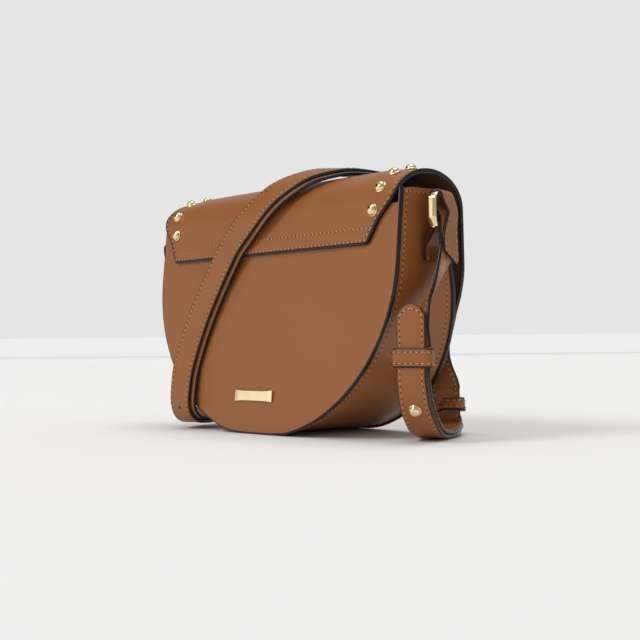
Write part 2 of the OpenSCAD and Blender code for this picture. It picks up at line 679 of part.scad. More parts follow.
// The leg ends on a level line, one gap below the fold
module left_part() {
    intersection() {
        children();
        translate([0, -body_w / 2, 0]) cube([body_w, body_w, left_leg_shares[3][0] * panel_h - face_gap]);
    }
}
module leg_left_inner() { color(tan_leather) left_part() inner(at_up, at_end); }
module leg_left_outer() { color(tan_leather) left_part() outer(at_up, at_end); }

// Band of thickness t and the strap's width along a line of points
function side_of(list, i, t) = let (
    d = unit(pick(list, i + 1) - pick(list, i - 1))) list[i] + t / 2 * [-d[1], d[0]];
module band(t, list) {
    rotate([90, 0, 0]) linear_extrude(strap_w, center = true) polygon(concat(
        [for (i = [0:len(list) - 1]) side_of(list, i, t)],
        [for (i = [len(list) - 1:-1:0]) side_of(list, i, -t)]));
}
// Half circle round a ring's upper bar, from one side of the bar to the other
function fold_r(t) = bar_t / 2 + fold_slack + t / 2;
bar_mid = ring_h + hinge_r - bar_w / 2;
function fold_arc(x, z, r) = [for (t = [0:20:180]) [x + r * cos(t), z + r * sin(t)]];
// Fold over the right ring: it leaves inside the ring, passes out under its bar and hangs down
module strap_end_right() {
    top = ring_z + bar_mid;
    inner_x = -leg_out;
    outer_x = -leg_out - (strap_t + end_t) / 2 - 2 * strap_gap;
    arc_r = fold_r(end_t);
    color(tan_leather) translate([0, tab_y, 0]) intersection() {
        band(end_t, concat(
            [[inner_x, leg_shares[0][2] * panel_h + 3 * face_gap], [inner_x, ring_z + 0.22 * ring_h],
             [inner_x + strap_t, ring_z + 0.44 * ring_h], [-ring_x + arc_r * 0.95, top - 0.24 * ring_h]],
            fold_arc(-ring_x, top, arc_r),
            [[(outer_x * 2 - ring_x - arc_r) / 3, top - 0.33 * ring_h], [outer_x, top - 0.6 * ring_h],
             [outer_x, top - end_len]]));
        along_x() polygon([
            [-strap_w, top + over + arc_r], [-strap_w, top - end_len + strap_w * 0.25],
            [-strap_w * 0.2, top - end_len],
            [strap_w, top - end_len + strap_w * 0.7], [strap_w, top + over + arc_r]]);
    }
}
// Fold over the left ring, whose two ends lie on the strap's leg
module fold_left() {
    low = left_leg_shares[3][0] * panel_h + face_gap;
    tilt = 90 - left_swing;
    bar = [bar_x - ring_h * sin(left_swing) + bar_mid * sin(left_swing),
        bar_z - ring_h * cos(left_swing) + bar_mid * cos(left_swing)];
    arc_r = fold_r(strap_t);
    color(tan_leather) translate([0, tab_y, 0]) band(strap_t, concat(
        [[bar_x + half_pair, low], [bar_x + half_pair, low + strap_w * 0.15]],
        [for (t = [-20:20:200]) [bar[0] + arc_r * cos(t - tilt), bar[1] + arc_r * sin(t - tilt)]],
        [[bar_x - half_pair, low + strap_w * 0.15], [bar_x - half_pair, low]]));
}
// Closed loop of leather round both layers of the strap
module keeper(length) {
    along = strap_w + keep_shift * layer_shift + 2 * keeper_clear;
    through = 2 * strap_t + strap_gap + 2 * keeper_clear;
    linear_extrude(length, center = true) difference() {
        square([along + 2 * keeper_t, through + 2 * keeper_t], center = true);
        square([along, through], center = true);
    }
}
module keeper_upper() {
    color(tan_leather) translate([-leg_x, leg_y, keeper_z]) rotate([0, 0, keep_turn]) keeper(keeper_len);
}
module keeper_lower() {
    color(tan_leather) translate([-low_x, low_y, low_keeper_z]) keeper(low_keeper_len);
}
stud_station = len(keeper_line);
module strap_stud() {
    s = route[stud_station];
    along = unit(place(route[stud_station + 1]) - place(route[stud_station - 1]));
    w = unit([s[3], s[4], s[5]] - ([s[3], s[4], s[5]] * along) * along);
    n = cross(w, along);
    face = place(s) + n * (half_pair + strap_t / 2 + face_gap) + w * s[6] * layer_shift / 2;
    color(gold) translate(face) rotate([0, acos(n[2]), atan2(n[1], n[0])]) dome(strap_stud_r, stud_h);
}

rear_panel();
rear_edge();
front_panel();
front_edge();
gusset();
rear_board();
front_board();
lining();
mouth_facing();
slip_pocket();
pocket_trim();
flap_yoke();
yoke_edge();
yoke_studs();
name_plate();
snap_socket();
snap_socket_washer();
tab_left();
tab_right();
flap();
flap_lining();
flap_edge();
flap_studs();
snap_disc();
snap_disc_washer();
ring_left();
ring_right();
fold_left();
strap_end_right();
leg_right();
leg_right_lower();
strap_tip();
turn_right_inner();
turn_right_outer();
front_inner();
front_outer();
back_inner();
back_outer();
turn_left_inner();
turn_left_outer();
leg_left_inner();
leg_left_outer();
keeper_upper();
keeper_lower();
strap_stud();
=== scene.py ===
"""Looks of a round-bottomed crossbody bag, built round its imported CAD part.

Sizes are in millimetres and repeat those of the part's source. They become metres where a mesh is made.
The ground is at z = 0, the bag's back faces +Y, and its left ring is on +X.
"""

from __future__ import annotations

import json
import logging
import math
from dataclasses import dataclass, field
from enum import Enum
from typing import Any, Iterable, Sequence

import bmesh
import bpy
import numpy as np
from mathutils import Matrix, Vector

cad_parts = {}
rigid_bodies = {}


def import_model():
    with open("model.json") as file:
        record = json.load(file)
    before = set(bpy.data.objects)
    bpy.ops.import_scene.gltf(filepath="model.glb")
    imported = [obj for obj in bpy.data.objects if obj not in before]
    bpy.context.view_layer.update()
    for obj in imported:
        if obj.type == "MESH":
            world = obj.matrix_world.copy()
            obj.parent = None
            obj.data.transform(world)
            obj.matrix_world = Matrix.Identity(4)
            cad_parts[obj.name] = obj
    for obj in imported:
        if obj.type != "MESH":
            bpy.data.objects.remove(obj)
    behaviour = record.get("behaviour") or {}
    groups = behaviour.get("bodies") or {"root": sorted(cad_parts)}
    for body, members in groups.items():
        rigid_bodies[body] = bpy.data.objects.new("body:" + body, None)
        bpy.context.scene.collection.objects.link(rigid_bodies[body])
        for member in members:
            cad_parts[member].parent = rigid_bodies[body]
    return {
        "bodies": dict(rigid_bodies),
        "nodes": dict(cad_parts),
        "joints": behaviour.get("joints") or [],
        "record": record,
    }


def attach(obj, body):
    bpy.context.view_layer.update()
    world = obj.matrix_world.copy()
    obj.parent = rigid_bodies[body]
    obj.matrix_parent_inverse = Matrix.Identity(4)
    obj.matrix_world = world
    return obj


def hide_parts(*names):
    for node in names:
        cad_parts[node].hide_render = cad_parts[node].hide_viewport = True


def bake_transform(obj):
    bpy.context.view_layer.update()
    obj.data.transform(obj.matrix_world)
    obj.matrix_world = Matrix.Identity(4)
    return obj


LOG = logging.getLogger("bag")
MM = 0.001
CREASE = 38.0
Array = np.ndarray
Color = tuple[float, float, float]
Place = tuple[float, float, float]
Values = dict[Any, Any]
Materials = Sequence[bpy.types.Material]
Pair = tuple[float, float]


class Slot(Enum):
    """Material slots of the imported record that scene.py's pieces use."""

    TAN = "tan_leather"
    DARK = "dark_leather"
    PAINT = "edge_paint"
    GOLD = "gold_metal"
    CLOTH = "cloth"


# Node trees


@dataclass
class NodeTree:
    """A node tree that is filled by code."""

    tree: bpy.types.NodeTree

    def node(self, kind: str, settings: Values | None = None, values: Values | None = None) -> bpy.types.Node:
        """Adds one node.

        Args:
            kind: The node's type, such as "ShaderNodeMath".
            settings: Its own settings, such as a Math node's operation, which are set first.
            values: Numbers, colours or sockets for its inputs, by name or index.

        Returns:
            The new node.
        """
        made = self.tree.nodes.new(kind)
        for key, value in (settings or {}).items():
            setattr(made, key, value)
        for key, value in (values or {}).items():
            self.feed(made.inputs[key], value)
        return made

    def feed(self, socket: bpy.types.NodeSocket, value: Any) -> None:
        """Sets or links one input.

        Args:
            socket: The input.
            value: A plain value, an output socket or a Number.
        """
        if isinstance(value, Number):
            value = value.socket
        if isinstance(value, bpy.types.NodeSocket):
            self.tree.links.new(value, socket)
        else:
            socket.default_value = value

    def number(self, kind: str, settings: Values | None, values: Values | None, output: Any = 0) -> Number:
        """Adds one node and wraps one of its outputs for arithmetic."""
        return Number(self, self.node(kind, settings, values).outputs[output])


@dataclass
class Number:
    """A number on a socket, on which the usual operators add Math nodes."""

    maker: NodeTree
    socket: bpy.types.NodeSocket

    def math(self, operation: str, first: Any, second: Any) -> Number:
        """Adds one Math node."""
        return self.maker.number("ShaderNodeMath", {"operation": operation}, {0: first, 1: second})

    def __add__(self, other: Any) -> Number:
        """Sum."""
        return self.math("ADD", self, other)

    def __sub__(self, other: Any) -> Number:
        """Difference."""
        return self.math("SUBTRACT", self, other)

    def __rsub__(self, other: Any) -> Number:
        """Difference from a number."""
        return self.math("SUBTRACT", other, self)

    def __mul__(self, other: Any) -> Number:
        """Product."""
        return self.math("MULTIPLY", self, other)

    __radd__ = __add__
    __rmul__ = __mul__


# Finishes


@dataclass(frozen=True)
class Finish:
    """What every finish shares: a Principled shader over Object coordinates."""

    name: str
    color: Color
    roughness: float

    def start(self) -> tuple[NodeTree, bpy.types.Material, bpy.types.NodeSocket]:
        """Makes the empty material.

        Returns:
            Its node maker, the material and the Object coordinates.
        """
        material = bpy.data.materials.new(self.name)
        material.use_nodes = True
        material.node_tree.nodes.clear()
        maker = NodeTree(material.node_tree)
        return maker, material, maker.node("ShaderNodeTexCoord").outputs["Object"]

    def end(self, maker: NodeTree, values: Values, height: Number, strength: float, depth: float) -> None:
        """Adds the shader, and a bump from a height between 0 and 1.

        Args:
            maker: The material's node maker.
            values: Inputs of the Principled shader.
            height: The height.
            strength: The bump's strength.
            depth: The bump's depth in metres.
        """
        bump = maker.node("ShaderNodeBump", None, {"Strength": strength, "Distance": depth, "Height": height})
        shader = maker.node("ShaderNodeBsdfPrincipled", None, {**values, "Normal": bump.outputs["Normal"]})
        output = maker.node("ShaderNodeOutputMaterial")
        maker.feed(output.inputs["Surface"], shader.outputs["BSDF"])


def noise(maker: NodeTree, place: bpy.types.NodeSocket, scale: float, detail: float = 2.0) -> Number:
    """Adds a noise at a scale."""
    return maker.number("ShaderNodeTexNoise", None, {"Vector": place, "Scale": scale, "Detail": detail})


def tones(maker: NodeTree, factor: Number, first: Color, second: Color) -> bpy.types.NodeSocket:
    """Mixes two colours.

    Args:
        maker: The material's node maker.
        factor: Share of the second colour.
        first: Colour at 0.
        second: Colour at 1.

    Returns:
        The mixed colour.
    """
    mix = maker.node("ShaderNodeMix", {"data_type": "RGBA"}, {0: factor, 6: (*first, 1), 7: (*second, 1)})
    return mix.outputs[2]


@dataclass(frozen=True)
class Leather(Finish):
    """Smooth faux leather: a fine pebble, soft changes of tone, and a satin coat."""

    deep: Color
    grain: float = 0.14
    coat: float = 0.06
    cloud_scale: float = 16.0
    pebble_scale: float = 950.0
    pore_scale: float = 2600.0
    wave_scale: float = 60.0

    def build(self) -> bpy.types.Material:
        """Makes the material."""
        maker, material, place = self.start()
        cloud = maker.number("ShaderNodeTexNoise", None, {
            "Vector": place, "Scale": self.cloud_scale, "Detail": 3.0, "Roughness": 0.6})
        pebble = maker.number("ShaderNodeTexVoronoi", {"feature": "SMOOTH_F1"}, {
            "Vector": place, "Scale": self.pebble_scale, "Smoothness": 0.6})
        pore = noise(maker, place, self.pore_scale)
        wave = noise(maker, place, self.wave_scale)
        self.end(maker, {
            "Base Color": tones(maker, cloud * 0.5 + pebble * 0.12, self.color, self.deep),
            "Roughness": self.roughness + (cloud - 0.5) * 0.08 + (pore - 0.5) * 0.05,
            "Specular IOR Level": 0.34, "Coat Weight": self.coat, "Coat Roughness": 0.3,
        }, pebble * 0.45 + pore * 0.3 + wave * 0.9, self.grain, 0.00035)
        return material


@dataclass(frozen=True)
class EdgePaint(Finish):
    """Thick glossy paint on a cut edge, slightly uneven along it."""

    def build(self) -> bpy.types.Material:
        """Makes the material."""
        maker, material, place = self.start()
        drip = noise(maker, place, 240.0, 3.0)
        thin = tuple(2.2 * part for part in self.color)
        self.end(maker, {
            "Base Color": tones(maker, drip, self.color, thin),
            "Roughness": self.roughness + (drip - 0.5) * 0.15, "Specular IOR Level": 0.4,
        }, drip, 0.25, 0.0003)
        return material


@dataclass(frozen=True)
class GoldPlate(Finish):
    """Pale gold plate with hair-fine polishing lines."""

    lines: float = 0.012
    tarnish: Color = (0.72, 0.5, 0.26)

    def build(self) -> bpy.types.Material:
        """Makes the material."""
        maker, material, place = self.start()
        stretched = maker.node("ShaderNodeMapping", None, {"Vector": place, "Scale": (1.0, 12.0, 12.0)})
        hair = noise(maker, stretched.outputs[0], 180.0, 4.0)
        haze = noise(maker, place, 90.0)
        self.end(maker, {
            "Base Color": tones(maker, haze * 0.25, self.color, self.tarnish), "Metallic": 1.0,
            "Roughness": self.roughness + (haze - 0.5) * 0.08 + (hair - 0.5) * 0.05,
        }, hair, self.lines, 0.0001)
        return material


@dataclass(frozen=True)
class Thread(Finish):
    """Tonal sewing thread, twisted."""

    def build(self) -> bpy.types.Material:
        """Makes the material."""
        maker, material, place = self.start()
        twist = noise(maker, place, 1800.0)
        shaded = tuple(0.72 * part for part in self.color)
        values = {"Base Color": tones(maker, twist, self.color, shaded), "Roughness": self.roughness}
        self.end(maker, values, twist, 0.3, 0.0002)
        return material


@dataclass(frozen=True)
class Weave(Finish):
    """Plain woven cloth with crossing yarns, whose low places are darkened as painted shade."""

    pitch: float = 1500.0

    def yarns(self, maker: NodeTree, place: bpy.types.NodeSocket, way: str) -> Number:
        """Adds the yarns that follow one another along an axis."""
        values = {"Vector": place, "Scale": self.pitch / 6.3, "Distortion": 0.6}
        return maker.number("ShaderNodeTexWave", {"bands_direction": way}, values)

    def build(self) -> bpy.types.Material:
        """Makes the material."""
        maker, material, place = self.start()
        across, up = self.yarns(maker, place, "X"), self.yarns(maker, place, "Z")
        height = across * up + (1.0 - across) * (1.0 - up)
        # The low places of the weave get the darker colour: painted shade where yarns dip under one another.
        deep = tuple(0.7 * part for part in self.color)
        values = {"Base Color": tones(maker, height, deep, self.color), "Roughness": self.roughness}
        self.end(maker, values, height, 0.35, 0.0003)
        return material


@dataclass
class Finishes:
    """All materials of the bag, made once."""

    tan: bpy.types.Material = field(init=False)
    dark: bpy.types.Material = field(init=False)
    paint: bpy.types.Material = field(init=False)
    gold: bpy.types.Material = field(init=False)
    plate: bpy.types.Material = field(init=False)
    thread: bpy.types.Material = field(init=False)
    shade: bpy.types.Material = field(init=False)
    cloth: bpy.types.Material = field(init=False)
    board: bpy.types.Material = field(init=False)

    def __post_init__(self) -> None:
        """Builds each finish."""
        self.tan = Leather("tan_leather", (0.327, 0.116, 0.028), 0.37, (0.27, 0.091, 0.02)).build()
        self.dark = Leather("dark_leather", (0.13, 0.062, 0.03), 0.6, (0.08, 0.036, 0.017), 0.2, 0.0).build()
        self.paint = EdgePaint("edge_paint", (0.004, 0.004, 0.005), 0.26).build()
        self.gold = GoldPlate("gold_metal", (0.95, 0.72, 0.42), 0.13).build()
        self.plate = GoldPlate("gold_plate", (0.98, 0.79, 0.53), 0.24, 0.12).build()
        self.thread = Thread("thread", (0.66, 0.34, 0.15), 0.6).build()
        # The needle holes are flat dark discs whose colour is painted shade.
        self.shade = Thread("stitch_hole_shade", (0.035, 0.012, 0.005), 0.8).build()
        self.cloth = Weave("lining_cloth", (0.30, 0.21, 0.14), 0.85).build()
        self.board = Weave("board", (0.50, 0.46, 0.40), 0.9, 900.0).build()


# Lines and meshes


def unit(v: Array) -> Array:
    """Rows of an array, each scaled to length 1."""
    return v / np.maximum(np.linalg.norm(v, axis=-1, keepdims=True), 1e-12)


def circle(count: int) -> Array:
    """Angles of a number of points round a circle."""
    return np.linspace(0, 2 * math.pi, count, endpoint=False)


def turn_of(degrees: float) -> Pair:
    """Cosine and sine of an angle."""
    return math.cos(math.radians(degrees)), math.sin(math.radians(degrees))


def chain_share(points: Array) -> Array:
    """Share of a line's length at each of its points."""
    step = np.concatenate([[0], np.cumsum(np.linalg.norm(np.diff(points, axis=0), axis=1))])
    return step / step[-1]


def evenly(line: Array, count: int) -> Array:
    """A number of points at even spacing along a line."""
    share, want = chain_share(line), np.linspace(0, 1, count)
    return np.stack([np.interp(want, share, line[:, k]) for k in range(line.shape[1])], axis=1)


def along_line(points: Array, spacing: float) -> Array:
    """A line resampled at an even spacing of about the given length."""
    length = np.linalg.norm(np.diff(points, axis=0), axis=1).sum()
    return evenly(points, max(2, int(round(length / spacing)) + 1))


def softened(line: Array, step: float, spread: float, reach: int) -> Array:
    """Rounds off the corners of a line and leaves its ends in place.

    Args:
        line: Points at even spacing, as two columns.
        step: The spacing.
        spread: How far the rounding spreads.
        reach: How many points it takes in on each side.

    Returns:
        The same number of points.
    """
    kernel = np.exp(-0.5 * (np.arange(-reach, reach + 1) * step / spread) ** 2)
    padded = np.concatenate([2 * line[0] - line[reach:0:-1], line, 2 * line[-1] - line[-2:-reach - 2:-1]])
    return np.stack([np.convolve(padded[:, k], kernel / kernel.sum(), "valid") for k in range(2)], axis=1)


def catmull(points: Array, steps: int) -> Array:
    """Runs a smooth curve through rows of values.

    Args:
        points: The rows.
        steps: Even steps between two rows.

    Returns:
        The rows with what lies between them.
    """
    padded = np.concatenate([points[:1], points, points[-1:]])
    u = (np.arange(steps) / steps)[:, None]
    parts = []
    for i in range(len(points) - 1):
        p, q, r, s = padded[i:i + 4]
        curve = 2 * q + (r - p) * u + (2 * p - 5 * q + 4 * r - s) * u**2 + (3 * q - p - 3 * r + s) * u**3
        parts.append(0.5 * curve)
    return np.concatenate([*parts, points[-1:]])


def coons(bottom: Array, top: Array, left: Array, right: Array) -> Array:
    """Fills four border curves with a grid.

    Args:
        bottom: Points of the first row.
        top: Points of the last row.
        left: First point of each row.
        right: Last point of each row.

    Returns:
        Points as (rows, columns, coordinates).
    """
    v = chain_share(left)[:, None, None]
    u = chain_share(bottom)[None, :, None]
    first, last = (1 - u) * bottom[0] + u * bottom[-1], (1 - u) * top[0] + u * top[-1]
    ruled = (1 - v) * bottom[None] + v * top[None] + (1 - u) * left[:, None] + u * right[:, None]
    return ruled - (1 - v) * first - v * last


def show(name: str, mesh: bpy.types.Mesh) -> bpy.types.Object:
    """Puts a mesh into the scene.

    Args:
        name: The object's name.
        mesh: The mesh.

    Returns:
        The new object, at the origin.
    """
    made = bpy.data.objects.new(name, mesh)
    bpy.context.scene.collection.objects.link(made)
    return made


def shade_smooth(mesh: bpy.types.Mesh, crease: float = CREASE) -> None:
    """Shades a mesh smooth but for its edges above an angle in degrees."""
    mesh.shade_smooth()
    mesh.set_sharp_from_angle(angle=math.radians(crease))


def solid(name: str, points: Array, faces: Sequence[Sequence[int]], materials: Materials,
          slots: Sequence[int] | None = None) -> bpy.types.Object:
    """Makes an object from points in millimetres.

    Args:
        name: The object's name.
        points: Its points.
        faces: Its faces.
        materials: Its materials.
        slots: Each face's material, or None for the first.

    Returns:
        The new object, at the origin.
    """
    mesh = bpy.data.meshes.new(name)
    mesh.from_pydata((np.asarray(points) * MM).tolist(), [], [tuple(int(i) for i in f) for f in faces])
    for material in materials:
        mesh.materials.append(material)
    if slots is not None:
        mesh.polygons.foreach_set("material_index", np.asarray(slots, dtype=np.int32))
    mesh.validate()
    shade_smooth(mesh)
    return show(name, mesh)


def outward(made: bpy.types.Object) -> bpy.types.Object:
    """Merges a mesh's doubles and turns all its faces outwards.

    Args:
        made: An object with a closed mesh.

    Returns:
        The same object.
    """
    work = bmesh.new()
    work.from_mesh(made.data)
    bmesh.ops.remove_doubles(work, verts=work.verts, dist=1e-7)
    bmesh.ops.recalc_face_normals(work, faces=work.faces)
    work.to_mesh(made.data)
    work.free()
    return made


def merge(name: str, parts: Sequence[bpy.types.Object]) -> bpy.types.Object:
    """Joins objects that share one origin into one mesh.

    Args:
        name: The new object's name.
        parts: The objects, which are removed.

    Returns:
        The new object.
    """
    work, materials = bmesh.new(), []
    for part in parts:
        shift = []
        for material in part.data.materials:
            if material not in materials:
                materials.append(material)
            shift.append(materials.index(material))
        before = len(work.faces)
        work.from_mesh(part.data)
        work.faces.ensure_lookup_table()
        for face in work.faces[before:]:
            face.material_index = shift[face.material_index]
        bpy.data.objects.remove(part)
    mesh = bpy.data.meshes.new(name)
    work.to_mesh(mesh)
    work.free()
    for material in materials:
        mesh.materials.append(material)
    return show(name, mesh)


@dataclass
class Surface:
    """A face of quads that becomes a solid piece of leather or cloth."""

    points: Array
    faces: list[tuple[int, ...]]

    @classmethod
    def grid(cls, points: Array) -> Surface:
        """Makes one from points in rows and columns.

        Args:
            points: An array of (rows, columns, 3).

        Returns:
            The surface.
        """
        rows, cols, _ = points.shape
        faces = [(r * cols + c, r * cols + c + 1, (r + 1) * cols + c + 1, (r + 1) * cols + c)
                 for r in range(rows - 1) for c in range(cols - 1)]
        return cls(points.reshape(-1, 3), faces)

    @classmethod
    def joined(cls, parts: Sequence[Surface]) -> Surface:
        """Puts surfaces together and leaves their points apart.

        Args:
            parts: The surfaces.

        Returns:
            One surface.
        """
        faces, start = [], 0
        for part in parts:
            faces += [tuple(i + start for i in f) for f in part.faces]
            start += len(part.points)
        return cls(np.concatenate([part.points for part in parts]), faces)

    def welded(self) -> Surface:
        """Joins points that lie in one place.

        Returns:
            The surface with each of them once.
        """
        _, first, back = np.unique(np.round(self.points, 3), axis=0, return_index=True, return_inverse=True)
        back = back.ravel()
        return Surface(self.points[first], [tuple(int(back[i]) for i in f) for f in self.faces])

    def normals(self) -> Array:
        """Works out the normals at the points.

        Returns:
            One row for each point.
        """
        total = np.zeros_like(self.points)
        quads = np.array(self.faces)
        a, b, c, d = (self.points[quads[:, i]] for i in range(4))
        normal = np.cross(c - a, d - b)
        for i in range(4):
            np.add.at(total, quads[:, i], normal)
        return unit(total)

    def border(self) -> list[tuple[int, int]]:
        """Finds the directed edges that only one face has.

        Returns:
            Pairs of points.
        """
        seen = {edge: True for f in self.faces for edge in zip(f, (*f[1:], f[0]))}
        return [edge for edge in seen if edge[::-1] not in seen]

    def thicken(self, name: str, thickness: float, bead: float, materials: Materials,
                steps: int = 5) -> bpy.types.Object:
        """Gives the face a back and a rounded rim.

        Args:
            name: The object's name.
            thickness: Thickness, measured in from the face.
            bead: How far the rim stands out past the border.
            materials: Materials of the face, the back and the rim.
            steps: Steps round the rim.

        Returns:
            The closed solid.
        """
        normal, edges, n = self.normals(), self.border(), len(self.points)
        after = dict(edges)
        before = {b: a for a, b in edges}
        rim = sorted(after)
        row = {v: i for i, v in enumerate(rim)}
        along = unit(self.points[[after[v] for v in rim]] - self.points[[before[v] for v in rim]])
        out = unit(np.cross(along, normal[rim]))
        rings = []
        for turn in np.pi * np.arange(1, steps) / steps:
            down = thickness / 2 * (1 - math.cos(turn))
            rings.append(self.points[rim] + out * bead * math.sin(turn) - normal[rim] * down)
        points = np.concatenate([self.points, self.points - normal * thickness, *rings])
        faces = list(self.faces) + [tuple(n + i for i in reversed(f)) for f in self.faces]
        slots = [0] * len(self.faces) + [1] * len(self.faces)

        def index(v: int, k: int) -> int:
            """Point k of the rim at border point v."""
            return v if k == 0 else n + v if k == steps else 2 * n + (k - 1) * len(rim) + row[v]

        for a, b in edges:
            for k in range(steps):
                faces.append((index(b, k), index(a, k), index(a, k + 1), index(b, k + 1)))
                slots.append(2)
        return solid(name, points, faces, materials, slots)


@dataclass
class Run:
    """Sections along a band: centres, width directions, outward directions and shares of the width."""

    centre: Array
    wide: Array
    out: Array
    share: Array

    CUP_FROM = 134.0
    CUP_FULL = 14.0
    CUP_RADIUS = 66.0

    def curl(self) -> Array:
        """How strongly each section is cupped round the flap's arch, per square millimetre of width."""
        over = np.clip((self.centre[:, 2] - self.CUP_FROM) / self.CUP_FULL, 0, 1)
        return over * (self.wide[:, 1] ** 2 + self.wide[:, 2] ** 2) / self.CUP_RADIUS

    def point(self, across: Any, lift: float) -> Array:
        """A line along the run, at places across it and a height above its middle."""
        x = np.broadcast_to(across, len(self.centre))
        return self.centre + self.wide * x[:, None] + self.out * (lift - self.curl() * x**2)[:, None]

    def slice(self, first: int, last: int | None) -> Run:
        """Sections from first to before last."""
        return Run(*(rows[first:last] for rows in (self.centre, self.wide, self.out, self.share)))

    def reversed(self) -> Run:
        """The same band from its far end, turned over."""
        return Run(self.centre[::-1], self.wide[::-1], -self.out[::-1], self.share[::-1])

    def then(self, other: Run) -> Run:
        """This run with another one after it."""
        pairs = ((getattr(self, key), getattr(other, key)) for key in ("centre", "wide", "out", "share"))
        return Run(*(np.concatenate(pair) for pair in pairs))


def swept(name: str, rings: Array, materials: Materials, slots: Sequence[int],
          closed: bool) -> bpy.types.Object:
    """Joins rings of points into a closed solid.

    Args:
        name: The object's name.
        rings: Points as (rings, points, 3).
        materials: Materials of the solid.
        slots: The material of each side of the section, counted from its point.
        closed: Whether the last ring joins the first one.

    Returns:
        The solid.
    """
    n, m, _ = rings.shape
    faces, kinds = [], []
    for i in range(n if closed else n - 1):
        j = (i + 1) % n
        for k in range(m):
            q = (k + 1) % m
            faces.append((i * m + k, i * m + q, j * m + q, j * m + k))
            kinds.append(slots[k])
    if not closed:
        faces += [tuple(reversed(range(m))), tuple(range((n - 1) * m, n * m))]
        kinds += [slots[-1]] * 2
    return outward(solid(name, rings.reshape(-1, 3), faces, materials, kinds))


@dataclass
class Band:
    """Section of a leather band: its width, its thickness, its crown and its rounded painted edges."""

    width: float
    thickness: float
    crown: float = 0.12
    bead: float = 0.8

    FLAT = 7
    ROUND = (-60, -30, 0, 30, 60)

    def profile(self) -> tuple[Array, list[int]]:
        """Works out the section, counter-clockwise, with the material of each side.

        Returns:
            Points as (across, up), and 0 for a leather side or 1 for a painted one.
        """
        flat, t = self.width / 2 - self.bead, self.thickness / 2
        points: list[Pair] = []
        sides: list[int] = []
        for way in (1, -1):
            for x in np.linspace(-1, 1, self.FLAT):
                points.append((way * x * flat, -way * (t + self.crown * (1 - x * x))))
            sides += [0] * (self.FLAT - 1) + [1] * (len(self.ROUND) + 1)
            for c, s in map(turn_of, self.ROUND):
                points.append((way * (flat + self.bead * c), way * t * s))
        return np.array(points), sides

    def sweep(self, name: str, run: Run, materials: Materials, closed: bool = False,
              cupped: bool = False) -> bpy.types.Object:
        """Sweeps the section along a run.

        Args:
            name: The object's name.
            run: Where the sections go.
            materials: Materials of the leather and of the painted edge.
            closed: Whether the band is a loop.
            cupped: Whether it is cupped where it lies on the flap's arch.

        Returns:
            The closed solid.
        """
        profile, sides = self.profile()
        x = profile[:, 0][None, :, None] * run.share[:, None, None]
        lift = profile[:, 1][None, :, None] - (run.curl()[:, None, None] * x**2 if cupped else 0)
        rings = run.centre[:, None] + run.wide[:, None] * x + run.out[:, None] * lift
        return swept(name, rings, materials, sides, closed)


def plan(name: str, inputs: Values) -> tuple[bpy.types.NodeTree, NodeTree, Any]:
    """Starts a Geometry Nodes tree.

    Args:
        name: The tree's name.
        inputs: Type of each input, by name.

    Returns:
        The tree, its node maker and its inputs' sockets.
    """
    tree = bpy.data.node_groups.new(name, "GeometryNodeTree")
    for label, kind in inputs.items():
        tree.interface.new_socket(label, in_out="INPUT", socket_type="NodeSocket" + kind)
    tree.interface.new_socket("Result", in_out="OUTPUT", socket_type="NodeSocketGeometry")
    maker = NodeTree(tree)
    return tree, maker, maker.node("NodeGroupInput").outputs


def lay(maker: NodeTree, points: Any, shape: Any, turn: Any, material: Any) -> bpy.types.NodeSocket:
    """Adds the nodes that set a shape on points, make it real and give it a material.

    Args:
        maker: The tree's node maker.
        points: The points.
        shape: The shape.
        turn: Its turn at each point.
        material: The material.

    Returns:
        The finished geometry.
    """
    values = {"Points": points, "Instance": shape, "Rotation": turn}
    laid = maker.node("GeometryNodeInstanceOnPoints", None, values)
    real = maker.node("GeometryNodeRealizeInstances", None, {"Geometry": laid.outputs[0]})
    dressed = maker.node("GeometryNodeSetMaterial", None, {"Geometry": real.outputs[0], "Material": material})
    return dressed.outputs[0]


def upward(maker: NodeTree) -> bpy.types.NodeSocket:
    """Adds the node that reads each point's outward direction."""
    named = maker.node("GeometryNodeInputNamedAttribute", {"data_type": "FLOAT_VECTOR"}, {"Name": "up"})
    return named.outputs["Attribute"]


def wire(name: str, points: Any, edges: Sequence[tuple[int, int]], ups: Any) -> bpy.types.Mesh:
    """Makes a mesh of points in millimetres that carry an outward direction.

    Args:
        name: The mesh's name.
        points: The points.
        edges: Pairs of them that are joined.
        ups: Outward direction at each.

    Returns:
        The mesh.
    """
    mesh = bpy.data.meshes.new(name)
    mesh.from_pydata((np.asarray(points) * MM).tolist(), edges, [])
    attribute = mesh.attributes.new("up", "FLOAT_VECTOR", "POINT")
    attribute.data.foreach_set("vector", np.array(ups, np.float32).ravel())
    return mesh


def grow(name: str, mesh: bpy.types.Mesh, tree: bpy.types.NodeTree, values: Values) -> bpy.types.Object:
    """Runs a Geometry Nodes tree on a mesh and keeps the result as a plain mesh.

    Args:
        name: The object's name.
        mesh: The mesh that the tree reads.
        tree: The tree.
        values: Its inputs by name.

    Returns:
        The new object.
    """
    source = show(name + "_source", mesh)
    modifier = source.modifiers.new("nodes", "NODES")
    modifier.node_group = tree
    for item in tree.interface.items_tree:
        if item.in_out == "INPUT" and item.name in values:
            modifier[item.identifier] = values[item.name]
    graph = bpy.context.evaluated_depsgraph_get()
    ready = source.evaluated_get(graph)
    result = bpy.data.meshes.new_from_object(ready, preserve_all_data_layers=False, depsgraph=graph)
    result.name = name
    shade_smooth(result, 50)
    bpy.data.objects.remove(source)
    return show(name, result)


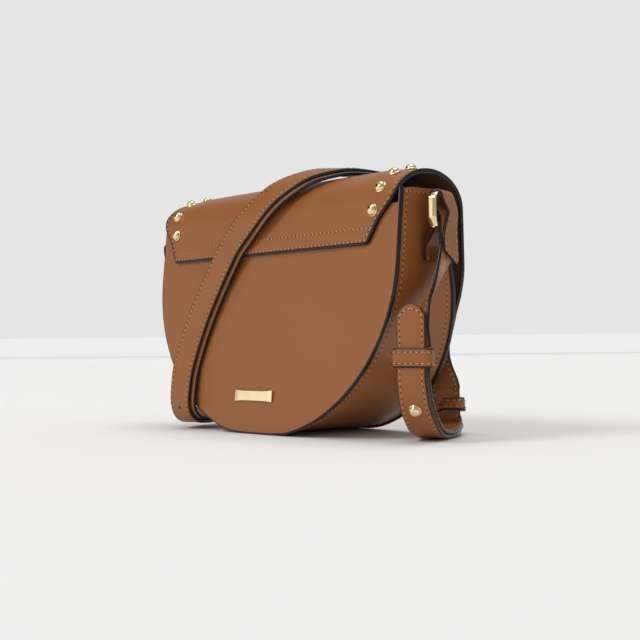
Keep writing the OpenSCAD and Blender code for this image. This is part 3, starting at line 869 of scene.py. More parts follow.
@dataclass
class Sewing:
    """Machine stitches: a thread, and between two stitches a flat dark disc of painted shade where the needle
    hole is.
    """

    finishes: Finishes
    pitch: float = 3.5
    length: float = 2.3
    width: float = 0.7
    height: float = 0.5
    hole: float = 0.48
    tree: bpy.types.NodeTree = field(init=False)

    def __post_init__(self) -> None:
        """Builds the tree that lays stitches along lines."""
        sizes = ("Pitch", "Stitch Length", "Stitch Width", "Stitch Height", "Hole Radius")
        self.tree, maker, given = plan("stitch_row", {
            "Lines": "Geometry", **dict.fromkeys(sizes, "Float"), "Thread": "Material", "Hole": "Material"})
        curve = maker.node("GeometryNodeMeshToCurve", None, {"Mesh": given["Lines"]}).outputs[0]
        even = maker.node("GeometryNodeResampleCurve", {"mode": "LENGTH"}, {
            "Curve": curve, "Length": given["Pitch"]}).outputs[0]
        tangent = maker.node("GeometryNodeInputTangent").outputs[0]
        first = maker.node("FunctionNodeAlignRotationToVector", {"axis": "X"}, {"Vector": tangent})
        turned_up = maker.node("FunctionNodeAlignRotationToVector", {"axis": "Z", "pivot_axis": "X"}, {
            "Rotation": first.outputs[0], "Vector": upward(maker)}).outputs[0]
        ball = maker.node("GeometryNodeMeshUVSphere", None, {"Segments": 6, "Rings": 4, "Radius": 0.5})
        size = maker.node("ShaderNodeCombineXYZ", None, {
            0: given["Stitch Length"], 1: given["Stitch Width"], 2: given["Stitch Height"]})
        thread = maker.node("GeometryNodeTransform", None, {
            "Geometry": ball.outputs["Mesh"], "Scale": size.outputs[0]})
        # The disc is painted shade: a flat dark mark where the needle hole's recess would be in shadow.
        disc = maker.node("GeometryNodeMeshCircle", {"fill_type": "NGON"}, {
            "Vertices": 8, "Radius": given["Hole Radius"]})
        aside = maker.node("ShaderNodeCombineXYZ", None, {0: Number(maker, given["Pitch"]) * 0.5})
        hole = maker.node("GeometryNodeTransform", None, {
            "Geometry": disc.outputs["Mesh"], "Translation": aside.outputs[0]})
        join = maker.node("GeometryNodeJoinGeometry")
        for shape, material in ((thread, given["Thread"]), (hole, given["Hole"])):
            laid = lay(maker, even, shape.outputs[0], turned_up, material)
            self.tree.links.new(laid, join.inputs[0])
        maker.node("NodeGroupOutput", None, {"Result": join.outputs[0]})

    def sew(self, name: str, rows: Iterable[tuple[Array, Array]]) -> bpy.types.Object:
        """Sews rows of stitches.

        Args:
            name: The object's name.
            rows: Lines on the leather in millimetres, each with its outward directions.

        Returns:
            The stitches as one plain mesh.
        """
        points, ups, edges = [], [], []
        for line, up in rows:
            start = len(points)
            points += line.tolist()
            ups += up.tolist()
            edges += [(i, i + 1) for i in range(start, len(points) - 1)]
        return grow(name, wire(name, points, edges, ups), self.tree, {
            "Pitch": self.pitch * MM, "Stitch Length": self.length * MM, "Stitch Width": self.width * MM,
            "Stitch Height": self.height * MM, "Hole Radius": self.hole * MM,
            "Thread": self.finishes.thread, "Hole": self.finishes.shade})


def settle(made: bpy.types.Object, body: str | tuple[str, str, Sequence[float], Sequence[float]], slot: Slot,
           *nodes: str) -> None:
    """Parents a finished piece to its body and hides the CAD nodes that it stands for.

    Args:
        made: The piece.
        body: The body it rides on, or two bodies and two points, in which case the piece is left unparented
            with its transform applied.
        slot: Its material slot; not used.
        nodes: CAD nodes that it replaces.
    """
    if isinstance(body, str):
        where = body
        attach(made, body)
    else:
        first, second, start, end = body
        where = f"{first} and {second}"
        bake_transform(made)
    if nodes:
        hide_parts(*nodes)
    LOG.info("%s: %d faces, on %s", made.name, len(made.data.polygons), where)


# Sizes of the part


@dataclass(frozen=True)
class Sizes:
    """Sizes of the CAD part, and the lines that follow from them."""

    half_w: float = 115.0
    panel_h: float = 148.0
    side_z: float = 103.0
    sag: float = 2.2
    rest_soft: float = 1.1
    rear_foot: float = 32.0
    rear_lean: float = 5.6
    front_foot: float = -1.5
    front_lean: float = 13.5
    arch_z: float = 138.0
    arch_back: float = 35.38
    arch_front: float = -27.62
    arch_rise: float = 24.0
    flap_half: float = 113.5
    flap_all: float = 2.4
    flap_gap: float = 3.1
    flap_side_z: float = 105.0
    flap_bottom: float = 9.0
    fall_z: float = 74.0
    hem_z: float = 115.0
    hem_left: float = 97.0
    hem_right: float = 92.5
    flap_shift: float = 1.0
    rear_ear: float = 146.5
    end_from: float = 86.0
    ring_z: float = 125.0
    ring_x: float = 120.2
    left_ring_x: float = 123.8
    ring_turn: float = 15.0
    left_swing: float = 78.0
    ring_top: float = 18.6
    tab_y: float = 4.4
    tab_x: float = 113.8
    strap_w: float = 18.5
    half_pair: float = 1.25
    layer_shift: float = 2.9

    @property
    def arch_mid(self) -> float:
        """Depth of the arch's middle."""
        return (self.arch_back + self.arch_front) / 2

    @property
    def arch_half(self) -> float:
        """Half the arch's depth."""
        return (self.arch_back - self.arch_front) / 2

    def rear_y(self, z: Any) -> Any:
        """Rear face of the rear panel at a height."""
        return self.rear_foot + (self.panel_h - z) * math.tan(math.radians(self.rear_lean))

    def front_y(self, z: Any) -> Any:
        """Front face of the front panel at a height."""
        return self.front_foot - (self.panel_h - z) * math.tan(math.radians(self.front_lean))

    def fall_y(self, z: Any) -> Any:
        """Front face of the flap's fall at a height."""
        off = self.flap_gap + self.flap_all
        share = (self.arch_z - z) / (self.arch_z - self.fall_z)
        upper = self.arch_front + (self.front_y(self.fall_z) - off - self.arch_front) * share
        return np.where(np.asarray(z) > self.fall_z, upper, self.front_y(z) - off)

    def bowl(self, a: float, b: float, mid: float, first: float, last: float, count: int) -> Array:
        """Makes a stretch of a rounded lower outline.

        Args:
            a: Half its width.
            b: Its depth under its middle.
            mid: Height of its middle.
            first: Angle at which it starts, from the left side.
            last: Angle at which it ends.
            count: Number of points.

        Returns:
            Points as (x, z).
        """
        t = np.radians(np.linspace(first, last, count))
        return np.stack([-a * np.cos(t), mid - b * np.sin(t)], axis=1)

    def panel_bowl(self, inset: float, first: float, last: float, count: int) -> Array:
        """Makes a stretch of the panels' lower outline, flattened softly where it rests.

        Args:
            inset: Distance in from the outline.
            first: Angle at which it starts, from the left side.
            last: Angle at which it ends.
            count: Number of points.

        Returns:
            Points as (x, z).
        """
        line = self.bowl(self.half_w - inset, self.side_z + self.sag - inset, self.side_z, first, last, count)
        line[:, 1] = inset + self.rest_soft * np.log1p(np.exp((line[:, 1] - inset) / self.rest_soft))
        return line

    def outline(self, inset: float, top: float) -> Array:
        """Makes the panels' outline, from its left top round the bottom to its right top.

        Args:
            inset: Distance in from the outline.
            top: Height of both ends.

        Returns:
            Points as (x, z).
        """
        side = self.half_w - inset
        arc = self.panel_bowl(inset, 0, 180, 241)
        return along_line(np.concatenate([[[-side, top]], arc, [[side, top]]]), 2.5)


S = Sizes()


@dataclass
class FlapLine:
    """Side profile of the flap, by the length along it from the yoke's hem."""

    spacing: float = 0.5
    corner: float = 33.0
    side_drop: float = 0.085
    top_drop: float = 0.1
    points: Array = field(init=False)
    length: Array = field(init=False)

    def __post_init__(self) -> None:
        """Joins the yoke, the arch and the fall, and rounds off where they meet."""
        z = np.linspace(S.hem_z, S.arch_z, 20)
        back = np.stack([S.rear_y(z) + S.flap_all, z], axis=1)
        t = np.radians(np.linspace(2, 180, 120))
        arch = np.stack([S.arch_mid + S.arch_half * np.cos(t), S.arch_z + S.arch_rise * np.sin(t)], axis=1)
        z = np.linspace(S.arch_z - 1, S.flap_bottom - 1, 130)
        fall = np.stack([S.fall_y(z), z], axis=1)
        line = along_line(np.concatenate([back, arch, fall]), self.spacing)
        self.points = softened(line, self.spacing, 2.2, 12)
        steps = np.linalg.norm(np.diff(self.points, axis=0), axis=1)
        self.length = np.concatenate([[0], np.cumsum(steps)])

    def at_height(self, z: Any) -> Array:
        """Length at which the fall reaches a height."""
        start = int(np.argmax(self.points[:, 1]))
        return np.interp(-np.asarray(z, float), -self.points[start:, 1], self.length[start:])

    def at_turn(self, degrees: float) -> float:
        """Length at an angle of the arch, from its back."""
        c, s = turn_of(degrees)
        want = np.array([S.arch_mid + S.arch_half * c, S.arch_z + S.arch_rise * s])
        return float(self.length[np.argmin(np.linalg.norm(self.points - want, axis=1))])

    def place(self, x: Array, s: Array, lift: Any = 0.0) -> Array:
        """Finds points on the flap's outer face, or above it. The arch sags a little at both ends.

        Args:
            x: Distances from the flap's middle.
            s: Lengths along the profile.
            lift: Height above the face.

        Returns:
            Points in millimetres.
        """
        out = self.out(s)
        y, z = (np.interp(s, self.length, self.points[:, k]) + lift * out[..., k + 1] for k in range(2))
        end = np.clip((np.abs(x) - S.end_from) / (S.flap_half - S.end_from), 0, 1)
        sag = end * end * (3 - 2 * end) * np.clip((z - 100) / 38, 0, 1)
        y = y + self.side_drop * sag * np.clip(S.arch_mid - y, 0, None)
        z = z - self.top_drop * sag * np.clip(z - S.arch_z, 0, None)
        return np.stack([x + S.flap_shift + 0 * y, y, z], axis=-1)

    def out(self, s: Array) -> Array:
        """Finds outward directions.

        Args:
            s: Lengths along the profile.

        Returns:
            Directions of length 1.
        """
        slope = unit(np.gradient(self.points, axis=0))
        y, z = (np.interp(s, self.length, slope[:, k]) for k in range(2))
        return unit(np.stack([0 * y, z, -y], axis=-1))

    def outline(self, inset: float) -> tuple[Array, Array, Array, Array]:
        """Makes the flap's outline as (distance from its middle, length along the profile).

        Args:
            inset: Distance in from the edge.

        Returns:
            The low end, the yoke's hem with its slanted corners, and both sides from the low end up.
        """
        half = S.flap_half - inset
        low, side = (S.bowl(half, S.flap_side_z - S.flap_bottom - inset, S.flap_side_z, 50, last, 90)
                     for last in (130, 0))
        low, side = (np.stack([line[:, 0], self.at_height(line[:, 1])], axis=1) for line in (low, side))
        side = np.concatenate([side, [[-half, self.corner]]])
        slant = np.array([[0.0, 0.0], [0.4, 14.8], [0.86, 25.0], [1.0, self.corner]])
        s = np.maximum(slant[:, 1], inset)
        left, right = (np.stack([half - (1 - slant[:, 0]) * (half - hem + inset * 0.7), s], axis=1)
                       for hem in (S.hem_right, S.hem_left))
        return low, np.concatenate([(left * [-1, 1])[::-1], right]), side, side * [-1, 1]


# Body of the bag


@dataclass
class Piece:
    """What every sub-assembly shares."""

    finishes: Finishes
    sewing: Sewing

    def leather(self) -> Materials:
        """Materials of a sheet: face, back and painted rim."""
        return [self.finishes.tan, self.finishes.dark, self.finishes.paint]

    def band(self) -> Materials:
        """Materials of a strap: leather and painted edge."""
        return [self.finishes.tan, self.finishes.paint]

    def facing(self) -> Materials:
        """Materials of dark leather: face, back and painted rim."""
        return [self.finishes.dark, self.finishes.dark, self.finishes.paint]


def panel_face(inset: float, top: float, ear_top: float, rows: int = 44, cols: int = 60) -> list[Array]:
    """Makes the grids that fill a panel's outline.

    Args:
        inset: Distance in from the body's outline.
        top: Height of the upper edge.
        ear_top: Height of the ears beside the flap, or a lower one for none.
        rows: Rows of points.
        cols: Columns of points, of which three on each side are the ears'.

    Returns:
        The panel's grid and those of its ears, as (x, z).
    """
    side = S.half_w - inset
    notch = min(S.flap_half + 0.3, side - 0.6)
    ear = np.linspace(-side, -notch, 4)
    across = np.concatenate([ear, np.linspace(-notch, notch, cols - 6)[1:-1], -ear[::-1]])
    up = np.stack([across, np.full(len(across), top)], axis=1)
    left = np.concatenate([S.panel_bowl(inset, 48, 0, 60), [[-side, top]]])
    left, low = (picked(line, count) for line, count in (
        (left, rows), (S.panel_bowl(inset, 48, 132, 90), len(across))))
    grids = [coons(low, up, left, left * [-1, 1])]
    if ear_top > top:
        z = np.linspace(top, ear_top, 5)
        grids += [np.stack(np.meshgrid(x, z), axis=-1) for x in (ear, -ear[::-1])]
    return grids


def picked(line: Array, count: int) -> Array:
    """A number of points of a line, to the nearest fifth of a millimetre."""
    fine = along_line(line, 0.2)
    return fine[np.linspace(0, len(fine) - 1, count).astype(int)]


@dataclass
class Body(Piece):
    """Panels, gusset, their painted edges, and what is inside."""

    wall: float = 2.1
    hollow: float = 1.2
    lining_top: float = 124.0
    facing_low: float = 123.5
    row_in: float = 6.5
    pocket_half: float = 64.8

    def face(self, x: Array, z: Array, rear: bool, depth: Any) -> Surface:
        """Makes the outer face of a sheet on a panel.

        Args:
            x: Distances from the middle, in rows and columns.
            z: Heights.
            rear: Whether it belongs to the rear.
            depth: Depths in from the panel's outer face.

        Returns:
            The surface, which faces out of the bag.
        """
        points = np.stack([x, S.rear_y(z) - depth if rear else S.front_y(z) + depth, z], axis=-1)
        return Surface.grid(points[:, ::-1] if rear else points)

    def panel(self, name: str, rear: bool, depth: float, thickness: float, inset: float, top: float,
              ear_top: float, materials: Materials, bead: float = 0.4) -> bpy.types.Object:
        """Makes one panel or the cloth behind it.

        Args:
            name: The object's name.
            rear: Whether it belongs to the rear.
            depth: Its depth in from the panel's outer face.
            thickness: Its thickness.
            inset: Its distance in from the body's outline.
            top: Height of its upper edge.
            ear_top: Height that it reaches beside the flap.
            materials: Its materials.
            bead: How far its rim stands out.

        Returns:
            The piece.
        """
        parts = []
        for grid in panel_face(inset, top, ear_top):
            x, z = grid[..., 0], grid[..., 1]
            middle = np.clip((112 - z) / 20, 0, 1) * np.clip((112 - np.abs(x)) / 20, 0, 1)
            wave = 0.16 * np.sin(x / 21 + 0.6) * np.sin(z / 17 + 1.1) * middle
            parts.append(self.face(x, z, rear, depth - wave))
        return Surface.joined(parts).welded().thicken(name, thickness, bead, materials)

    def strip(self, name: str, inset: float, thickness: float, inner: float, low: float, top: float,
              materials: Materials) -> bpy.types.Object:
        """Makes the gusset or what lines it.

        Args:
            name: The object's name.
            inset: Its distance in from the body's outline.
            thickness: Its thickness.
            inner: Its distance from the outer faces of both panels.
            low: Height at which its sides start, or below zero for the whole way round.
            top: Height of its upper end.
            materials: Its materials.

        Returns:
            The piece.
        """
        line = S.outline(inset, top)
        if low < 0:
            runs = [line]
        else:
            runs = [line[(side * line[:, 0] > 0) & (line[:, 1] >= low)] for side in (-1, 1)]
        v = np.linspace(0, 1, 17)
        made = []
        for run in runs:
            along = unit(np.gradient(run, axis=0))
            ease = np.clip((run[:, 1] + 20) / 50, 0.25, 1)
            dip = (self.hollow * np.sin(math.pi * v) ** 1.3) * ease[:, None]
            x = run[:, 0][:, None] - along[:, 1][:, None] * dip
            z = run[:, 1][:, None] + along[:, 0][:, None] * dip
            z = z - 2.2 * np.clip((v - 0.55) / 0.45, 0, 1) ** 2 * np.clip((z - S.arch_z) / 10, 0, 1)
            front, rear = S.front_y(run[:, 1]) + inner, S.rear_y(run[:, 1]) - inner
            y = front[:, None] * (1 - v) + rear[:, None] * v
            made.append(Surface.grid(np.stack([x, y, z], axis=-1)))
        return Surface.joined(made).thicken(name, thickness, 0.3, materials)

    def edge(self, name: str, rear: bool) -> bpy.types.Object:
        """Makes the painted edge of one panel.

        Args:
            name: The object's name.
            rear: Whether it is the rear panel's.

        Returns:
            The piece.
        """
        line = S.outline(0.75, S.rear_ear + 0.3 if rear else S.panel_h)
        along = unit(np.gradient(line, axis=0))
        y = S.rear_y(line[:, 1]) - 1.45 if rear else S.front_y(line[:, 1]) + 1.45
        centre = np.stack([line[:, 0], y, line[:, 1]], axis=1)
        wide = np.tile([0.0, -1.0, 0.0], (len(line), 1))
        out = np.stack([along[:, 1], 0 * y, -along[:, 0]], axis=1)
        run = Run(centre, wide, out, np.ones(len(line)))
        return Band(2.9, 1.5, 0.05).sweep(name, run, [self.finishes.paint] * 2)

    def build(self) -> None:
        """Builds the body."""
        top, cloth = S.arch_z - 0.3, [self.finishes.cloth] * 3
        for side, rear, ear in (("rear", True, S.rear_ear), ("front", False, S.panel_h)):
            panel = self.panel(side + "_panel_leather", rear, 0, 2.0, 1.2, top, ear, self.leather())
            settle(panel, "root", Slot.TAN, side + "_panel")
        for side in ("rear", "front"):
            settle(self.edge(side + "_panel_edge", side == "rear"), "root", Slot.PAINT, side + "_edge")
        gusset = self.strip("gusset_leather", 1.3, 1.5, self.wall, -1, S.panel_h - 0.3, self.leather())
        settle(gusset, "root", Slot.TAN, "gusset")
        parts = [self.panel("lining_" + side, side == "rear", 3.1, 0.5, 4.2, self.lining_top, 0, cloth, 0.1)
                 for side in ("rear", "front")]
        parts.append(self.strip("lining_sides", 3.0, 0.5, 3.2, -1, self.lining_top, cloth))
        settle(merge("bag_lining", parts), "root", Slot.CLOTH, "lining")
        self.mouth()
        self.pocket()
        self.seams()

    def mouth(self) -> None:
        """Lines the mouth with leather."""
        side = S.half_w - 3.0
        x, z = np.meshgrid(np.linspace(-side, side, 56), np.linspace(self.facing_low, S.arch_z - 0.3, 7))
        parts = [self.face(x, z, rear, 2.05).thicken("facing", 0.9, 0.3, self.facing())
                 for rear in (True, False)]
        parts.append(self.strip("facing", 2.9, 0.9, 3.2, self.facing_low, S.panel_h - 0.2, self.facing()))
        settle(merge("mouth_facing_leather", parts), "root", Slot.DARK, "mouth_facing")

    def pocket(self) -> None:
        """Makes the slip pocket and its trim."""
        for name, low, depth, slot, node, materials in (
                ("slip_pocket_cloth", 40.0, 3.65, Slot.CLOTH, "slip_pocket", [self.finishes.cloth] * 3),
                ("pocket_trim_leather", 94.0, 4.45, Slot.DARK, "pocket_trim", self.facing())):
            wide = np.linspace(-self.pocket_half, self.pocket_half, 40)
            x, z = np.meshgrid(wide, np.linspace(low, 106.0, 14))
            settle(self.face(x, z, True, depth).thicken(name, 0.75, 0.15, materials), "root", slot, node)

    def seams(self) -> None:
        """Sews the gusset and the mouth."""
        rows = []
        line = S.outline(1.3, S.panel_h - 3.5)
        along = unit(np.gradient(line, axis=0))
        inward = np.stack([-along[:, 1], 0 * along[:, 0], along[:, 0]], axis=1)
        ease = np.clip((line[:, 1] + 20) / 50, 0.25, 1)
        front, rear = S.front_y(line[:, 1]) + self.wall, S.rear_y(line[:, 1]) - self.wall
        for y in (rear - self.row_in + self.wall, front + self.row_in - self.wall):
            dip = self.hollow * np.sin(math.pi * (y - front) / (rear - front)) ** 1.3 * ease - 0.12
            rows.append((np.stack([line[:, 0], y, line[:, 1]], axis=1) + inward * dip[:, None], -inward))
        z = S.panel_h - 3.4
        y = np.linspace(S.front_y(z) + 6, S.rear_y(z) - 6, 12)
        v = (y - S.front_y(z) - self.wall) / (S.rear_y(z) - S.front_y(z) - 2 * self.wall)
        x = S.half_w - 1.3 - self.hollow * np.sin(math.pi * v) ** 1.3 + 0.12
        for side in (-1, 1):
            rows.append((np.stack([side * x, y, 0 * y + z], axis=1), np.tile([side, 0.0, 0.0], (12, 1))))
        settle(self.sewing.sew("gusset_stitches", rows), "root", Slot.TAN)


# Flap and studs


@dataclass
class Stud:
    """Domed stud with a rolled rim, laid by Geometry Nodes."""

    finishes: Finishes
    dome: float = 3.26
    dome_low: float = 0.86
    height: float = 3.2
    sides: int = 32

    RIM = ((3.5, -0.4), (3.76, 0.0), (3.8, 0.3), (3.68, 0.62), (3.4, 0.74), (3.26, 0.86))

    def head(self) -> bpy.types.Object:
        """Makes one head that stands on its own origin, axis along Z.

        Returns:
            The head.
        """
        rise = self.height - self.dome_low
        profile = [*self.RIM, *((self.dome * math.cos(t) ** 0.85, self.dome_low + rise * math.sin(t))
                                for t in np.radians(np.linspace(9, 86, 10)))]
        points = [(0.0, 0.0, profile[0][1])]
        for r, z in profile:
            points += [(r * math.cos(a), r * math.sin(a), z) for a in circle(self.sides)]
        points.append((0.0, 0.0, self.height))
        faces: list[tuple[int, ...]] = []
        last = 1 + (len(profile) - 1) * self.sides
        for i in range(self.sides):
            j = (i + 1) % self.sides
            faces.append((0, 1 + j, 1 + i))
            for a in range(1, last, self.sides):
                b = a + self.sides
                faces.append((a + i, a + j, b + j, b + i))
            faces.append((last + i, last + j, len(points) - 1))
        return solid("stud_head", np.array(points), faces, [self.finishes.gold])

    def row(self, name: str, seats: Sequence[tuple[Array, Array]]) -> bpy.types.Object:
        """Sets studs on their seats.

        Args:
            name: The object's name.
            seats: Points in millimetres and outward directions.

        Returns:
            The studs as one plain mesh.
        """
        tree, maker, given = plan("stud_row", {"Seats": "Geometry", "Head": "Object", "Finish": "Material"})
        upright = maker.node("FunctionNodeAlignRotationToVector", {"axis": "Z"}, {"Vector": upward(maker)})
        shape = maker.node("GeometryNodeObjectInfo", None, {"Object": given["Head"]}).outputs["Geometry"]
        laid = lay(maker, given["Seats"], shape, upright.outputs[0], given["Finish"])
        maker.node("NodeGroupOutput", None, {"Result": laid})
        points, ups = zip(*seats)
        head = self.head()
        made = grow(name, wire(name, points, [], ups), tree, {"Head": head, "Finish": self.finishes.gold})
        bpy.data.objects.remove(head)
        return made


@dataclass
class Flap(Piece):
    """Yoke, arch and front fall, which are one sheet with a lining and a painted edge."""

    line: FlapLine = field(default_factory=FlapLine)
    stud_half: float = 99.8
    stud_drop: float = 89.8
    stud_pitch: float = 14.5
    side_pitch: float = 13.05
    fall_studs: int = 23
    yoke_stud_x: float = 96.5
    yoke_stud_s: float = 19.5
    behind: float = 18.0
    seam_in: float = 2.5
    hem_rows: tuple[float, float] = (1.9, 9.2)

    BEND = ("root", "flap", (0.0, 35.6, 150.0), (0.0, 20.0, 150.0))

    def sheet(self, name: str, inset: float, depth: float, thickness: float, hem: float,
              materials: Materials) -> bpy.types.Object:
        """Makes one layer of the flap.

        Args:
            name: The object's name.
            inset: Its distance in from the flap's outline.
            depth: Its depth in from the outer face.
            thickness: Its thickness.
            hem: Height of the puffed band along the yoke's hem.
            materials: Its materials.

        Returns:
            The piece.
        """
        low, top, left, right = self.line.outline(inset)
        rows, cols, corner = 96, 72, 13
        middle = cols - 2 * (corner - 1)
        top = np.concatenate([
            evenly(top[:4], corner)[:-1], evenly(top[3:5], middle), evenly(top[4:], corner)[1:]])
        grid = coons(evenly(low, cols), top, evenly(left, rows), evenly(right, rows))
        x, s = grid[..., 0], grid[..., 1]
        puff = hem * np.exp(-(((s - 5.4) / 3.4) ** 4)) * (np.abs(x) < S.hem_right - 1)
        soft = 0.12 * np.sin(x / 24 + 0.4) * np.sin(s / 26)
        face = Surface.grid(self.line.place(x, s, -depth + puff + soft))
        return face.thicken(name, thickness, 0.3, materials)

    def edge(self) -> bpy.types.Object:
        """Makes the painted edge round the yoke and the flap.

        Returns:
            The piece.
        """
        low, top, left, right = self.line.outline(0.6)
        loop = np.concatenate([low, right, top[::-1][1:-1], left[::-1]])
        loop = along_line(np.concatenate([loop, loop[:1]]), 2.0)[:-1]
        points = self.line.place(loop[:, 0], loop[:, 1], -1.2)
        up = self.line.out(loop[:, 1])
        along = unit(np.roll(points, -1, axis=0) - np.roll(points, 1, axis=0))
        up = unit(up - (up * along).sum(axis=1, keepdims=True) * along)
        run = Run(points, -up, np.cross(along, up), np.ones(len(points)))
        return Band(3.1, 1.6, 0.05).sweep("flap_painted_edge", run, [self.finishes.paint] * 2, closed=True)

    def seams(self) -> bpy.types.Object:
        """Sews the edges and the hem.

        Returns:
            The stitches.
        """
        low, hem, left, right = self.line.outline(self.seam_in)
        lines = [(along_line(side, 1.5), 0.14) for side in (left, right, hem[:4], hem[4:], low)]
        for s in self.hem_rows:
            ends = self.seam_in - S.hem_right - 0.6 * s, S.hem_left - self.seam_in + 0.6 * s
            lines.append((np.stack([np.linspace(*ends, 120), np.full(120, s)], axis=1), 0.2))
        return self.sewing.sew("flap_stitches", [
            (self.line.place(line[:, 0], line[:, 1], lift), self.line.out(line[:, 1]))
            for line, lift in lines])

    def stud_places(self) -> list[tuple[float, float]]:
        """Works out the places of the studs, those of the arch first.

        Returns:
            Distances from the flap's middle and lengths along the profile.
        """
        places, turn = [], 25.0
        while turn <= 170:
            places += [(side * self.stud_half, self.line.at_turn(turn)) for side in (-1, 1)]
            c, s = turn_of(turn)
            turn += math.degrees(self.stud_pitch / math.hypot(S.arch_half * s, S.arch_rise * c))
        for t in np.linspace(0, math.pi, self.fall_studs):
            z = S.flap_side_z - self.stud_drop * math.sin(t)
            places.append((self.stud_half * math.cos(t), float(self.line.at_height(z))))
        for side in (-1, 1):
            for k in (1, 2):
                s = float(self.line.at_height(S.flap_side_z + self.side_pitch * k))
                places.append((side * self.stud_half, s))
        return places

    def seat(self, place: tuple[float, float]) -> tuple[Array, Array]:
        """Point and outward direction of a stud."""
        x, s = np.array(place[0]), np.array(place[1])
        return self.line.place(x, s, 0.05), self.line.out(s)

    def build(self) -> None:
        """Builds the flap."""
        outer = self.sheet("flap_leather", 0.8, 0.0, 1.45, 0.35, self.leather())
        settle(outer, self.BEND, Slot.TAN, "flap", "flap_yoke")
        inner = self.sheet("flap_inner_leather", 1.0, 1.5, 0.85, 0.0, self.facing())
        settle(inner, self.BEND, Slot.DARK, "flap_lining")
        settle(self.edge(), self.BEND, Slot.PAINT, "flap_edge", "yoke_edge")
        settle(self.seams(), self.BEND, Slot.TAN)
        stud, seats = Stud(self.finishes), [self.seat(place) for place in self.stud_places()]
        behind, before = ([seat for seat in seats if (seat[0][1] > self.behind) == back]
                          for back in (True, False))
        settle(stud.row("arch_back_studs", behind), self.BEND, Slot.GOLD)
        settle(stud.row("flap_front_studs", before), "flap", Slot.GOLD, "flap_studs")
        yoke = [self.seat((side * self.yoke_stud_x, self.yoke_stud_s)) for side in (-1, 1)]
        settle(stud.row("yoke_corner_studs", yoke), "root", Slot.GOLD, "yoke_studs")


# Strap


def flat_turn(degrees: float) -> Sequence[float]:
    """Level direction at an angle."""
    return (*turn_of(degrees), 0.0)


